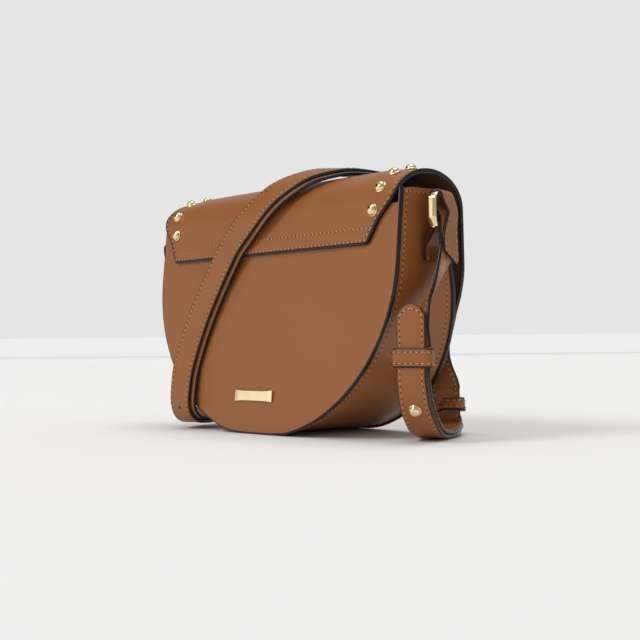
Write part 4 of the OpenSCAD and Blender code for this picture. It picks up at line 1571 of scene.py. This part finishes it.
@dataclass
class Route:
    """Stations of the double strap, the same as the CAD part's."""

    steps: int = 10
    stations: Array = field(init=False)
    tip: Array = field(init=False)

    PAIR_IN = 2.65
    LEG_X = 125.3
    LEG_Y = 34.5
    LEG_OUT = 124.08
    KEEP_TURN = 15.0
    FRONT_OVER = 2.9
    TIP_Z = 78.5
    RING_REACH = 18.4

    def __post_init__(self) -> None:
        """Lists the stations: centre, width direction, share of the layer shift, share of the width."""
        h, w = S.panel_h, S.half_w
        keeper = [self.station((-self.LEG_X, self.LEG_Y, z * h), flat_turn(self.KEEP_TURN), 0.4)
                  for z in (0.365, 0.3, 0.24)]
        turn = [self.station((-x * w, y * w, z * h), flat_turn(a), 0.4) for x, y, z, a in (
            (1.08, 0.272, 0.15, 21), (1.062, 0.215, 0.087, 26), (1.025, 0.13, 0.042, 30),
            (0.968, 0.01, 0.0215, 30), (0.905, -0.125, 0.0225, 30), (0.825, -0.25, 0.0255, 30),
            (0.738, -0.346, 0.038, 30))]
        low_y = float(S.fall_y(18.0)) - self.PAIR_IN - 1.6
        low = [self.station((-0.708 * w, low_y, z * h), flat_turn(a), 0.4)
               for z, a in ((0.066, 30), (0.086, 30), (0.18, 25), (0.21, 22))]
        front = [self.station(self.front(x, z), d) for x, z, d in (
            (-0.7, 0.35, (1, 0.12, 0)), (-0.775, 0.6, (1, 0, -0.05)), (-0.8, 0.84, (0.98, 0, -0.1)))]
        crest = [self.station(self.arch(x, t, lift), d) for x, t, lift, d in (
            (-0.69, 174, 2.2, (0.9, -0.05, -0.42)), (-0.545, 136, 0.2, (0.78, -0.45, -0.43)),
            (-0.43, 100, 0.2, (0.68, -0.72, -0.08)), (-0.345, 76, 1.6, (0.62, -0.76, 0.2)),
            (-0.23, 52, 3.2, (0.58, -0.65, 0.48)), (-0.07, 24, 3.6, (0.58, -0.33, 0.74)))]
        back = [self.station(self.back(x, z, lift), d) for x, z, lift, d in (
            (0.14, 0.89, 2.4, (0.58, 0, 0.82)), (0.285, 0.785, 0.7, (0.6, 0, 0.8)),
            (0.49, 0.54, 0, (0.85, 0.12, 0.5)), (0.61, 0.32, 0, (0.95, 0.17, 0.28)),
            (0.635, 0.19, 0, (1, 0.14, 0.05)))]
        left = [self.station((x * w, y * w, z * h), flat_turn(a)) for x, y, z, a in (
            (0.63, 0.43, 0.105, 5), (0.65, 0.375, 0.056, 6), (0.7, 0.27, 0.04, 8), (0.775, 0.14, 0.045, 12),
            (0.865, 0.06, 0.11, 22), (0.945, 0.03, 0.22, 38))]
        bar_x = self.bar(self.RING_REACH)[0]
        leg = [self.station((w + (bar_x - w) * x, S.tab_y, z * h), flat_turn(a), shift)
               for z, x, a, shift in (
            (0.34, 0.1, 55, 0.8), (0.52, 0.55, 75, 0.5), (0.68, 0.88, 88, 0.2), (0.76, 1, 90, 0))]
        self.stations = np.array(keeper + turn + low + front + crest + back + left + leg)
        self.tip = np.array([
            self.station((-self.LEG_X, self.LEG_Y, self.TIP_Z - S.strap_w / 2 * (1 - up)),
                         flat_turn(self.KEEP_TURN), 0.4, width)
            for up, width in map(turn_of, (4, 12, 22, 34, 48, 64, 80))])

    @staticmethod
    def station(place: Sequence[float], wide: Sequence[float], shift: float = 1.0,
                share: float = 1.0) -> list[float]:
        """One station as a row of numbers."""
        return [*place, *wide, shift, share]

    @staticmethod
    def bar(reach: float) -> Pair:
        """Place on the left ring at a distance from its hinge, as (x, z)."""
        c, s = turn_of(S.left_swing)
        return S.left_ring_x + reach * s, S.ring_z + reach * c

    def back(self, x: float, z: float, lift: float) -> Sequence[float]:
        """Place on the back, from shares of the sizes."""
        high = z * S.panel_h
        return x * S.half_w, float(S.rear_y(high)) + S.flap_all + self.PAIR_IN + lift, high

    def front(self, x: float, z: float) -> Sequence[float]:
        """Place on the front."""
        high = z * S.panel_h
        return x * S.half_w, float(S.fall_y(high)) - self.PAIR_IN - self.FRONT_OVER, high

    def arch(self, x: float, turn: float, lift: float) -> Sequence[float]:
        """Place over the arch."""
        off, (c, s) = self.PAIR_IN + lift, turn_of(turn)
        return x * S.half_w, S.arch_mid + (S.arch_half + off) * c, S.arch_z + (S.arch_rise + off) * s

    def layer(self, stations: Array, side: float, first: float, last: float) -> Run:
        """Makes the sections of one layer between two stations.

        Args:
            stations: The list of stations.
            side: 1 for the outer layer, -1 for the inner one, 0 for a single one.
            first: First station.
            last: Last station.

        Returns:
            The sections.
        """
        dense = catmull(stations, self.steps)
        along = unit(np.gradient(dense[:, :3], axis=0))
        wide = dense[:, 3:6]
        wide = unit(wide - (wide * along).sum(axis=1, keepdims=True) * along)
        out = np.cross(wide, along)
        shift = side * S.layer_shift / 2 * dense[:, 6:7]
        run = Run(dense[:, :3] + out * side * S.half_pair + wide * shift, wide, out, dense[:, 7])
        return run.slice(int(first * self.steps), int(last * self.steps) + 1)


@dataclass
class Strap(Piece):
    """The doubled strap, its folds, its keepers and its stud."""

    route: Route = field(default_factory=Route)
    section: Band = field(default_factory=lambda: Band(S.strap_w, 2.2))
    seam_in: float = 2.2

    LONG = ("flap", "root", (0.0, 33.0, 146.0), (0.0, 42.0, 135.0))
    RIGHT = ("root", "flap", (-121.8, 0.0, 118.0), (-124.0, 32.0, 57.0))
    LEFT = ("root", "ring_left", (141.0, 4.4, 103.0), (141.0, 4.4, 114.0))
    OVER = ((-1, 1), (1, 1))
    UNDER = ((-1, -1), (1, -1))

    def rows(self, run: Run, faces: Sequence[Pair]) -> list[tuple[Array, Array]]:
        """Places the stitch rows on a run. They follow a rounded end.

        Args:
            run: The sections.
            faces: Side of each row as (across, up), each -1 or 1.

        Returns:
            Lines with outward directions.
        """
        half = self.section.width / 2
        lift = self.section.thickness / 2 + 0.5 * self.section.crown + 0.06
        square = (half - self.seam_in) ** 2 - half**2 + (run.share * half) ** 2
        keep = square > 0.2
        made = []
        for across, up in faces:
            line = run.point(across * np.sqrt(np.maximum(square, 0)), up * lift)
            made.append((line[keep], run.out[keep] * up))
        return made

    def piece(self, name: str, run: Run, body: Any, nodes: Sequence[str], faces: Sequence[Pair],
              cupped: bool = False) -> None:
        """Makes one stretch of strap with its stitches.

        Args:
            name: The stretch's name.
            run: Its sections.
            body: The body or bodies that it rides on.
            nodes: CAD nodes that it replaces.
            faces: Side of each stitch row.
            cupped: Whether it is cupped on the flap's arch.
        """
        settle(self.section.sweep(name, run, self.band(), cupped=cupped), body, Slot.TAN, *nodes)
        settle(self.sewing.sew(name + "_stitches", self.rows(run, faces)), body, Slot.TAN)

    def build(self) -> None:
        """Builds the strap."""
        r, ends = self.route, len(self.route.tip)
        run = r.layer(np.concatenate([r.tip, r.stations]), 1, 0, ends + 16)
        self.piece("strap_low_outer", run, "flap", ("strap_tip", "turn_right_outer"), self.OVER + self.UNDER)
        run = r.layer(r.stations, -1, 0, 16)
        self.piece("strap_low_inner", run, "flap", ("turn_right_inner",), self.UNDER)
        stretches = ("front", "back", "turn_left", "leg_left")
        for side, layer, faces in ((1, "outer", (*self.OVER, (1, -1))), (-1, "inner", self.UNDER)):
            run = r.layer(r.stations, side, 16, 36)
            nodes = [f"{stretch}_{layer}" for stretch in stretches]
            self.piece("strap_long_" + layer, run, self.LONG, nodes, faces, True)
        self.left_fold()
        self.right_leg()
        self.right_end()
        self.keeper("upper", (-r.LEG_X, r.LEG_Y, 48.5), r.KEEP_TURN, 11.0, False)
        self.keeper("lower", (-81.4, float(S.fall_y(18.0)) - 4.25, 18.0), 25.0, 9.0, True)
        self.stud()
        self.punched_hole()

    def flat_run(self, path: Sequence[Pair], way: float, spread: float) -> Run:
        """Makes sections whose width lies along Y.

        Args:
            path: Corners of their middle line as (x, z), which are rounded off.
            way: 1 or -1, the sign of the width's direction.
            spread: How far the rounding spreads.

        Returns:
            The sections.
        """
        fine = 0.25
        line = along_line(softened(along_line(np.array(path), fine), fine, spread, 24), 1.0)
        along = unit(np.gradient(line, axis=0))
        flat = 0 * line[:, 0]
        wide = np.tile([0.0, way, 0.0], (len(line), 1))
        out = np.cross(wide, np.stack([along[:, 0], flat, along[:, 1]], axis=1))
        return Run(np.stack([line[:, 0], flat + S.tab_y, line[:, 1]], axis=1), wide, out, flat + 1)

    def left_fold(self) -> None:
        """Joins both layers of the left leg by a fold over the ring."""
        r, radius, tilt = self.route, 3.5, 90 - S.left_swing
        bar_x, bar_z = r.bar(S.ring_top)
        turns = map(turn_of, range(200 - int(tilt), -33, -10))
        arc = [(bar_x + radius * c, bar_z + radius * s) for c, s in turns]
        inside, outside = (r.bar(r.RING_REACH)[0] + side * S.half_pair for side in (-1, 1))
        path = [(inside, 112.5), (inside, 116.5), *arc, (outside, 116.5), (outside, 112.5)]
        fold = self.flat_run(path, 1.0, 1.0)
        outer, inner = (r.layer(r.stations, side, 36, 37) for side in (1, -1))
        run = inner.slice(0, -1).then(fold).then(outer.reversed().slice(1, None))
        self.piece("strap_left_fold", run, self.LEFT, ("fold_left",), self.OVER + self.UNDER)

    def right_leg(self) -> None:
        """Makes the single leg from the right ring down to the upper keeper."""
        r, h = self.route, S.panel_h
        shares = ((0, 0.128, 0.797, 90), (0, 0.15, 0.745, 93), (-0.012, 0.36, 0.622, 122),
                  (-0.012, 0.63, 0.532, 142), (0, 0.85, 0.446, 168), (0.006, 0.925, 0.405, 188),
                  (0.0125, 0.95, 0.375, 194))
        with_ring = (1.0, 0.9, 0.2, 0, 0, 0, 0)
        stations = [r.station((-r.LEG_OUT * (1 + x), y * r.LEG_Y - 0.8 * part, z * h),
                              flat_turn(a + part * S.ring_turn), 0)
                    for (x, y, z, a), part in zip(shares, with_ring)]
        c, s = turn_of(r.KEEP_TURN)
        end = (-r.LEG_X + S.half_pair * s - 0.9 * c, r.LEG_Y - S.half_pair * c - 0.9 * s, 0.365 * h + 0.2)
        stations.append(r.station(end, (-c, -s, 0), 0))
        run = r.layer(np.array(stations), 0, 0, len(stations) - 1)
        nodes = ("leg_right", "leg_right_lower")
        self.piece("strap_right_leg", run, self.RIGHT, nodes, self.OVER + self.UNDER)

    def right_end(self) -> None:
        """Makes the strap's right end, folded over the ring, with a waist and a slanted point."""
        r, top, radius, rise, long = self.route, S.ring_z + S.ring_top, 3.55, 2.15, 40.5
        outer_x = -r.LEG_OUT - 2.5
        path = [(-r.LEG_OUT, 0.797 * S.panel_h + 0.3), (-r.LEG_OUT, S.ring_z + 4.05),
                (-r.LEG_OUT + 2.2, S.ring_z + 8.1), (-S.ring_x + radius * 0.95, top - 4.4)]
        path += [(-S.ring_x + radius * c, top + rise * s) for c, s in map(turn_of, range(0, 181, 12))]
        path += [((outer_x * 2 - S.ring_x - radius) / 3, top - 6.1), (outer_x, top - 11),
                 (outer_x + 0.8, top - 19), (outer_x, top - long)]
        run = self.flat_run(path, -1.0, 1.2)
        centre = turned(run.centre)
        wide, out = turned(run.centre + run.wide) - centre, turned(run.centre + run.out) - centre
        run = Run(centre, wide, out, run.share)
        past = np.arange(len(centre)) > len(centre) // 2
        run = self.narrowed(run, past, top, top - long)
        settle(Band(S.strap_w, 1.6, 0.05).sweep("strap_right_end", run, self.band()), "ring_right",
               Slot.TAN, "strap_end_right")
        z, edge = run.centre[:, 2], run.share * S.strap_w / 2 - 2.1
        keep = past & (edge > 0.6) & (z < top - 14)
        box = int(np.argmin(np.abs(z - (top - long) - 13) + 100 * ~past))
        rows = []
        for lift in (-0.88, 0.88):
            for side in (-1, 1):
                rows.append((run.point(side * edge, lift)[keep], run.out[keep] * np.sign(lift)))
            across = np.linspace(-edge[box], edge[box], 8)[:, None]
            line = run.centre[box] + run.wide[box] * across + run.out[box] * lift
            rows.append((line, np.tile(run.out[box] * np.sign(lift), (8, 1))))
        settle(self.sewing.sew("strap_right_end_stitches", rows), "ring_right", Slot.TAN)

    @staticmethod
    def narrowed(run: Run, past: Array, top: float, tail: float) -> Run:
        """Narrows the right end at the ring and cuts its point.

        Args:
            run: The end's sections, from the leg over the ring to the point.
            past: Which of them come after the ring.
            top: Height of the ring's top.
            tail: Height of the point.

        Returns:
            The narrowed sections.
        """
        half, z, slant = S.strap_w / 2, run.centre[:, 2], 5.5
        down = np.where(past, top + 3 - z, z - top - 3)
        waist = half * np.interp(down, (-24, -12, -3, 8, 14, 21, 29), (1.0, 0.8, 0.76, 0.74, 0.3, 0.62, 1.0))
        low_cut = np.clip(half - (tail + 1.5 - z) * (half - 5.6) / 1.5, 0, half)
        high_cut = np.clip(half - (tail + 7.5 - z) * (half + slant) / 7.5, -slant, half)
        high = np.where(past, np.minimum(waist, high_cut), waist)
        low = np.minimum(-np.where(past, low_cut, half), high - 0.8)
        centre = run.centre - run.wide * ((low + high) / 2)[:, None]
        return Run(centre, run.wide, run.out, np.minimum((high - low) / S.strap_w, 1.0))

    def keeper(self, which: str, centre: Sequence[float], turn: float, high: float, pinched: bool) -> None:
        """Makes one keeper with its stitches.

        Args:
            which: "upper" or "lower".
            centre: Its middle.
            turn: Its turn about the upright line in degrees.
            high: Its height.
            pinched: Whether its outer side is flared, with a pinch.
        """
        half_x, half_y = 11.7, 3.4
        loop = rounded_box(half_x, half_y, 2.2, 7)
        loop = along_line(np.concatenate([loop, loop[:1]]), 1.0)[:-1]
        along = unit(np.roll(loop, -1, axis=0) - np.roll(loop, 1, axis=0))
        c, s = turn_of(turn)
        axis = np.array([[c, s, 0.0], [-s, c, 0.0]])
        points, out = loop @ axis + centre, np.stack([along[:, 1], -along[:, 0]], axis=1) @ axis
        up = np.tile([0.0, 0.0, 1.0], (len(points), 1))
        if pinched:
            facing = np.clip(loop[:, 1] / half_y, 0, 1)[:, None]
            pinch = np.exp(-(((loop[:, 0] - 3.0) / 2.2) ** 2))[:, None]
            points = points + facing * (out * (1.5 - 1.7 * pinch) + up * (0.6 - 1.6 * pinch))
            up = unit(up - 0.75 * facing * out)
            out = unit(out - (out * up).sum(axis=1, keepdims=True) * up)
        run, name = Run(points, up, out, np.ones(len(points))), which + "_keeper_loop"
        made = Band(high, 1.4, 0.1, 1.0).sweep(name, run, self.band(), closed=True)
        settle(made, "keeper_" + which, Slot.TAN, "keeper_" + which)
        lines = [run.point(side * (high / 2 - 2.3), 0.84) for side in (-1, 1)]
        rows = [(np.concatenate([line, line[:1]]), np.concatenate([run.out, run.out[:1]])) for line in lines]
        settle(self.sewing.sew(name + "_stitches", rows), "keeper_" + which, Slot.TAN)

    def stud(self) -> None:
        """Sets the stud that holds the strap's tip."""
        run = self.route.layer(self.route.stations, 1, 3.2, 3.2)
        seat = run.centre[0] + run.out[0] * 1.2, run.out[0]
        settle(Stud(self.finishes).row("strap_stud_head", [seat]), "flap", Slot.GOLD, "strap_stud")

    def punched_hole(self) -> None:
        """Shows the hole that is punched in the strap's outer layer low on the back, as a dark disc of
        painted shade.
        """
        run, radius, n = self.route.layer(self.route.stations, 1, 28, 28), 1.2, 15
        turns = circle(n)[:, None]
        wide, out = run.wide[0], run.out[0]
        ring = run.centre[0] + (wide * np.cos(turns) + np.cross(wide, out) * np.sin(turns)) * radius
        rings = np.stack([ring + out * lift for lift in (0.8, 1.26)])
        # The disc's dark colour is painted shade for the hole's recess.
        hole = swept("strap_punched_hole", rings, [self.finishes.shade], [0] * n, False)
        settle(hole, self.LONG, Slot.TAN)


# Rings, tabs, plate and closure


def turned(points: Array, share: Any = 1.0) -> Array:
    """Turns points about the right ring's upright line, by all or a share of its turn."""
    a = math.radians(S.ring_turn) * np.asarray(share)
    x, y = points[..., 0] + S.ring_x, points[..., 1] - S.tab_y
    across, deep = x * np.cos(a) - y * np.sin(a), x * np.sin(a) + y * np.cos(a)
    return np.stack([across - S.ring_x, deep + S.tab_y, points[..., 2]], axis=-1)


def rounded_box(half_x: float, half_y: float, radius: float, count: int) -> Array:
    """Makes a rectangle with round corners, counter-clockwise.

    Args:
        half_x: Half its width.
        half_y: Half its height.
        radius: Radius of its corners.
        count: Points on each corner.

    Returns:
        Its points.
    """
    points = []
    for way_x, way_y, start in ((1, 1, 0), (-1, 1, 90), (-1, -1, 180), (1, -1, 270)):
        for c, s in map(turn_of, np.linspace(start, start + 90, count)):
            points.append((way_x * (half_x - radius) + radius * c, way_y * (half_y - radius) + radius * s))
    return np.array(points)


@dataclass
class Hardware(Piece):
    """Rings with their tabs, the plate and the magnetic closure."""

    nodes: dict[str, bpy.types.Object] = field(default_factory=dict)
    ring_half: float = 10.6
    ring_high: float = 18.6
    ring_cut: float = 2.6
    ring_foot: float = 8.4
    bar_radius: float = 1.3
    rivet_y: float = 6.6

    def ring(self, name: str, turn: Matrix, at: Sequence[float]) -> bpy.types.Object:
        """Makes a ring with its hinge bar and sets it in place.

        Args:
            name: The object's name.
            turn: Its turn from upright and flat across X.
            at: Middle of its hinge bar.

        Returns:
            The ring, with its object at the origin.
        """
        half, high, cut, foot = self.ring_half, self.ring_high, self.ring_cut, self.ring_foot
        corners = [(-foot, -0.2), (-half, 4.2), (-half, high - cut), (-half + cut, high)]
        corners = np.array(corners + [(-x, z) for x, z in reversed(corners)])
        line = [corners[0]]
        for before, corner, after in zip(corners, corners[1:], corners[2:]):
            a, b = corner + 0.7 * unit(before - corner), corner + 0.7 * unit(after - corner)
            line += [a, (a + b) / 4 + corner / 2, b]
        line = np.array([*line, corners[-1]])
        along, flat = unit(np.gradient(line, axis=0)), 0 * line[:, 0]
        centre, out = np.stack([flat, *line.T], axis=1), np.stack([flat, -along[:, 1], along[:, 0]], axis=1)
        profile = rounded_box(2.6, 1.1, 0.4, 4)
        rings = centre[:, None] + out[:, None] * profile[:, 1][None, :, None]
        rings[..., 0] += profile[:, 0]
        frame = swept(name, rings, [self.finishes.gold], [0] * len(profile), False)
        turns = circle(24)
        bar = np.array([[(self.bar_radius * math.cos(a), end, self.bar_radius * math.sin(a)) for a in turns]
                        for end in (-foot - 0.9, foot + 0.9)])
        rod = swept(name + "_rod", bar, [self.finishes.gold], [0] * len(turns), False)
        made = merge(name, [frame, rod])
        made.data.transform(Matrix.Translation(Vector(at) * MM) @ turn)
        shade_smooth(made.data)
        return made

    def tab(self, name: str, side: int, out: float) -> bpy.types.Object:
        """Makes a leather tab with its loop round a ring's bar.

        Args:
            name: The object's name.
            side: 1 on the left, -1 on the right.
            out: Distance of the ring's bar from the gusset.

        Returns:
            The tab.
        """
        radius, fine = 1.93, 0.25
        turns = map(turn_of, range(-28, 171, 14))
        arc = [(S.tab_x + out + radius * c, S.ring_z + radius * s) for c, s in turns]
        near, far = S.tab_x + 0.6, S.tab_x + 1.68
        path = np.array([(far, 105.2), (far, 113.6), *arc, (near, 116.6), (near, 105.2)])
        line = along_line(softened(along_line(path, fine), fine, 0.5, 12), 0.7) * [side, 1]
        along, flat = unit(np.gradient(line, axis=0)), 0 * line[:, 0]
        wide = np.tile([0.0, 1.0, 0.0], (len(line), 1))
        up = np.cross(wide, np.stack([along[:, 0], flat, along[:, 1]], axis=1))
        centre = np.stack([line[:, 0], flat + S.tab_y, line[:, 1]], axis=1)
        if side < 0:
            share = np.clip((line[:, 1] - 110) / 11, 0, 1)
            ends, centre = turned(centre + wide, share), turned(centre, share)
            wide = ends - centre
        return Band(18.4, 1.05, 0.04).sweep(name, Run(centre, wide, up, flat + 1), self.band())

    def bevelled(self, name: str, node: str, width: float, material: bpy.types.Material,
                 lift: float = 0.0) -> bpy.types.Object:
        """Copies a rigid CAD node and rounds its edges.

        Args:
            name: The new object's name.
            node: The CAD node.
            width: Width of the rounding.
            material: Its material.
            lift: Shift along +Y.

        Returns:
            The rounded copy.
        """
        work = bmesh.new()
        work.from_mesh(self.nodes[node].data)
        bmesh.ops.remove_doubles(work, verts=work.verts, dist=1e-6)
        bmesh.ops.dissolve_limit(work, angle_limit=math.radians(2), verts=work.verts, edges=work.edges)
        sharp = [e for e in work.edges if len(e.link_faces) == 2 and e.calc_face_angle(0) > math.radians(32)]
        bmesh.ops.bevel(work, geom=sharp, offset=width * MM, segments=3, profile=0.6, affect="EDGES",
                        clamp_overlap=True)
        mesh = bpy.data.meshes.new(name)
        work.to_mesh(mesh)
        work.free()
        mesh.materials.clear()
        mesh.materials.append(material)
        mesh.transform(Matrix.Translation((0, lift * MM, 0)))
        shade_smooth(mesh)
        return show(name, mesh)

    def tab_rows(self) -> list[tuple[Array, Array]]:
        """Places the stitches beside the tabs' ends.

        Returns:
            Lines with outward directions.
        """
        rows, z = [], np.linspace(106.5, 113.0, 6)
        for side in (-1, 1):
            for y in (-self.rivet_y, self.rivet_y):
                line = np.stack([0 * z + side * (S.tab_x + 2.3), 0 * z + S.tab_y + y, z], axis=1)
                rows.append((line, np.tile([side, 0.0, 0.0], (len(z), 1))))
        return rows

    def build(self) -> None:
        """Builds the hardware."""
        gold = self.finishes.gold
        for name, x, degrees, axis in (
                ("ring_right", -S.ring_x, S.ring_turn, "Z"), ("ring_left", S.left_ring_x, S.left_swing, "Y")):
            turn = Matrix.Rotation(math.radians(degrees), 4, axis)
            settle(self.ring(name + "_frame", turn, (x, S.tab_y, S.ring_z)), name, Slot.GOLD, name)
        for name, side, out in (("tab_right", -1, 6.4), ("tab_left", 1, 10.0)):
            settle(self.tab(name + "_leather", side, out), "root", Slot.TAN, name)
        settle(self.sewing.sew("tab_stitches", self.tab_rows()), "root", Slot.TAN)
        plate = self.bevelled("name_plate_metal", "name_plate", 0.28, self.finishes.plate, 0.15)
        settle(plate, "root", Slot.GOLD, "name_plate")
        for half, body in (("snap_socket", "root"), ("snap_disc", "flap")):
            for node in (half, half + "_washer"):
                settle(self.bevelled(node + "_metal", node, 0.12, gold), body, Slot.GOLD, node)
        for node in ("rear_board", "front_board"):
            mesh = self.nodes[node].data
            mesh.materials.clear()
            mesh.materials.append(self.finishes.board)
            LOG.info("%s: dressed as it is", node)


# Stage


@dataclass
class Stage:
    """Floor, wall, lights and camera of the photograph, in metres."""

    eye: Place = (-0.56240, 0.51199, 0.05517)
    forward: Place = (0.73264, -0.68021, 0.02339)
    right: Place = (-0.68022, -0.73295, -0.00872)
    up: Place = (-0.02307, 0.00952, 0.99969)
    lens: float = 64.53
    depth: float = 8.0
    behind: float = 3.0
    half: float = 6.0
    riser: float = 0.13
    wall: float = 5.0
    sky: float = 0.42

    def camera(self) -> None:
        """Sets the camera that matches the photograph."""
        data = bpy.data.cameras.new("photo_camera")
        data.lens = self.lens
        data.sensor_width = 36.0
        data.clip_start = 0.02
        data.clip_end = 60.0
        made = bpy.data.objects.new("photo_camera", data)
        turn = Matrix((Vector(self.right), Vector(self.up), -Vector(self.forward))).transposed().to_4x4()
        made.matrix_world = Matrix.Translation(Vector(self.eye)) @ turn
        bpy.context.scene.collection.objects.link(made)
        bpy.context.scene.camera = made

    def sheet(self, name: str, corners: Sequence[Any], material: bpy.types.Material) -> bpy.types.Object:
        """Adds one flat sheet of the stage.

        Args:
            name: The object's name.
            corners: Its corners.
            material: Its material.

        Returns:
            The sheet.
        """
        mesh = bpy.data.meshes.new(name)
        mesh.from_pydata([c[:] for c in corners], [], [(0, 1, 2, 3)])
        mesh.materials.append(material)
        made = show(name, mesh)
        return made

    def backdrop(self) -> None:
        """Sets the floor and, far behind, the wall with its low riser."""
        level = Vector((self.forward[0], self.forward[1], 0)).normalized()
        side = Vector((level.y, -level.x, 0)) * self.half
        foot = Vector((self.eye[0], self.eye[1], 0))
        near, far = foot - level * self.behind, foot + level * self.depth
        edge, top = far + Vector((0, 0, self.riser)), far + Vector((0, 0, self.wall))
        floor = self.paper("stage_floor", (0.86, 0.855, 0.85), (0.86, 0.855, 0.85), 0.0)
        wall = self.paper("stage_wall", (0.8, 0.8, 0.8), (0.783, 0.783, 0.783), 1.0)
        riser = self.paper("stage_riser", (0.8, 0.8, 0.8), (0.862, 0.862, 0.862), 1.0)
        self.sheet("floor", [near - side, near + side, far + side, far - side], floor)
        self.sheet("riser", [far - side, far + side, edge + side, edge - side], riser)
        self.sheet("wall", [edge - side, edge + side, top + side, top - side], wall)

    def paper(self, name: str, color: Color, shown: Color, share: float) -> bpy.types.Material:
        """Makes a stage material.

        Args:
            name: The material's name.
            color: Its diffuse colour.
            shown: The colour that the camera sees.
            share: How much of that replaces the lit surface for camera rays.

        Returns:
            The material.
        """
        material = bpy.data.materials.new(name)
        material.use_nodes = True
        material.node_tree.nodes.clear()
        maker = NodeTree(material.node_tree)
        matt = maker.node("ShaderNodeBsdfDiffuse", None, {"Color": (*color, 1)})
        glow = maker.node("ShaderNodeEmission", None, {"Color": (*shown, 1), "Strength": 1.0})
        ray = maker.number("ShaderNodeLightPath", None, None, "Is Camera Ray")
        values = {0: ray * share, 1: matt.outputs[0], 2: glow.outputs[0]}
        mix = maker.node("ShaderNodeMixShader", None, values)
        maker.node("ShaderNodeOutputMaterial", None, {"Surface": mix.outputs[0]})
        return material

    def lights(self) -> None:
        """Sets the sky, two soft suns, a softbox, and a dark card for contrast in the metal."""
        world = bpy.data.worlds.new("sky")
        bpy.context.scene.world = world
        world.use_nodes = True
        background = world.node_tree.nodes["Background"]
        background.inputs["Color"].default_value = (1.0, 1.0, 1.0, 1.0)
        background.inputs["Strength"].default_value = self.sky
        for name, place, power, angle in (
                ("key", (0.5, 1.6, 1.5), 1.0, 24.0), ("top", (0.1, -0.3, 2.0), 1.18, 40.0)):
            data = bpy.data.lights.new(name, "SUN")
            data.energy = power
            data.angle = math.radians(angle)
            self.hang(name, data, place)
        data = bpy.data.lights.new("softbox", "AREA")
        data.shape = "RECTANGLE"
        data.size = 1.7
        data.size_y = 0.8
        data.energy = 3.2
        self.hang("softbox", data, (0.95, 1.68, 0.36))
        corners = [(1.3, 1.0, 0.7), (2.1, -0.5, 0.7), (1.9, -0.55, 1.6), (1.1, 0.95, 1.6)]
        dark = (0.02, 0.02, 0.02)
        card = self.sheet("card", corners, self.paper("stage_card", dark, dark, 0.0))
        card.visible_camera = card.visible_diffuse = card.visible_shadow = False

    def hang(self, name: str, data: bpy.types.Light, place: Sequence[float]) -> None:
        """Hangs a lamp that points at the bag.

        Args:
            name: The object's name.
            data: The lamp.
            place: Its place.
        """
        made = bpy.data.objects.new(name, data)
        aim = Vector((0, 0, 0.08)) - Vector(place)
        turn = aim.to_track_quat("-Z", "Y").to_matrix().to_4x4()
        made.matrix_world = Matrix.Translation(Vector(place)) @ turn
        bpy.context.scene.collection.objects.link(made)

    def build(self) -> None:
        """Builds the stage."""
        self.camera()
        self.backdrop()
        self.lights()


def write_size() -> None:
    """Updates the view layer."""
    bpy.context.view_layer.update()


def main() -> None:
    """Builds the whole scene, from the body outwards."""
    logging.basicConfig(level=logging.INFO, format="%(name)s: %(message)s")
    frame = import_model()
    write_size()
    finishes = Finishes()
    sewing = Sewing(finishes)
    Body(finishes, sewing).build()
    Flap(finishes, sewing).build()
    Strap(finishes, sewing).build()
    Hardware(finishes, sewing, frame["nodes"]).build()
    Stage().build()
    scene = bpy.context.scene
    scene.view_settings.view_transform = "Standard"
    write_size()


if __name__ == "__main__":
    main()
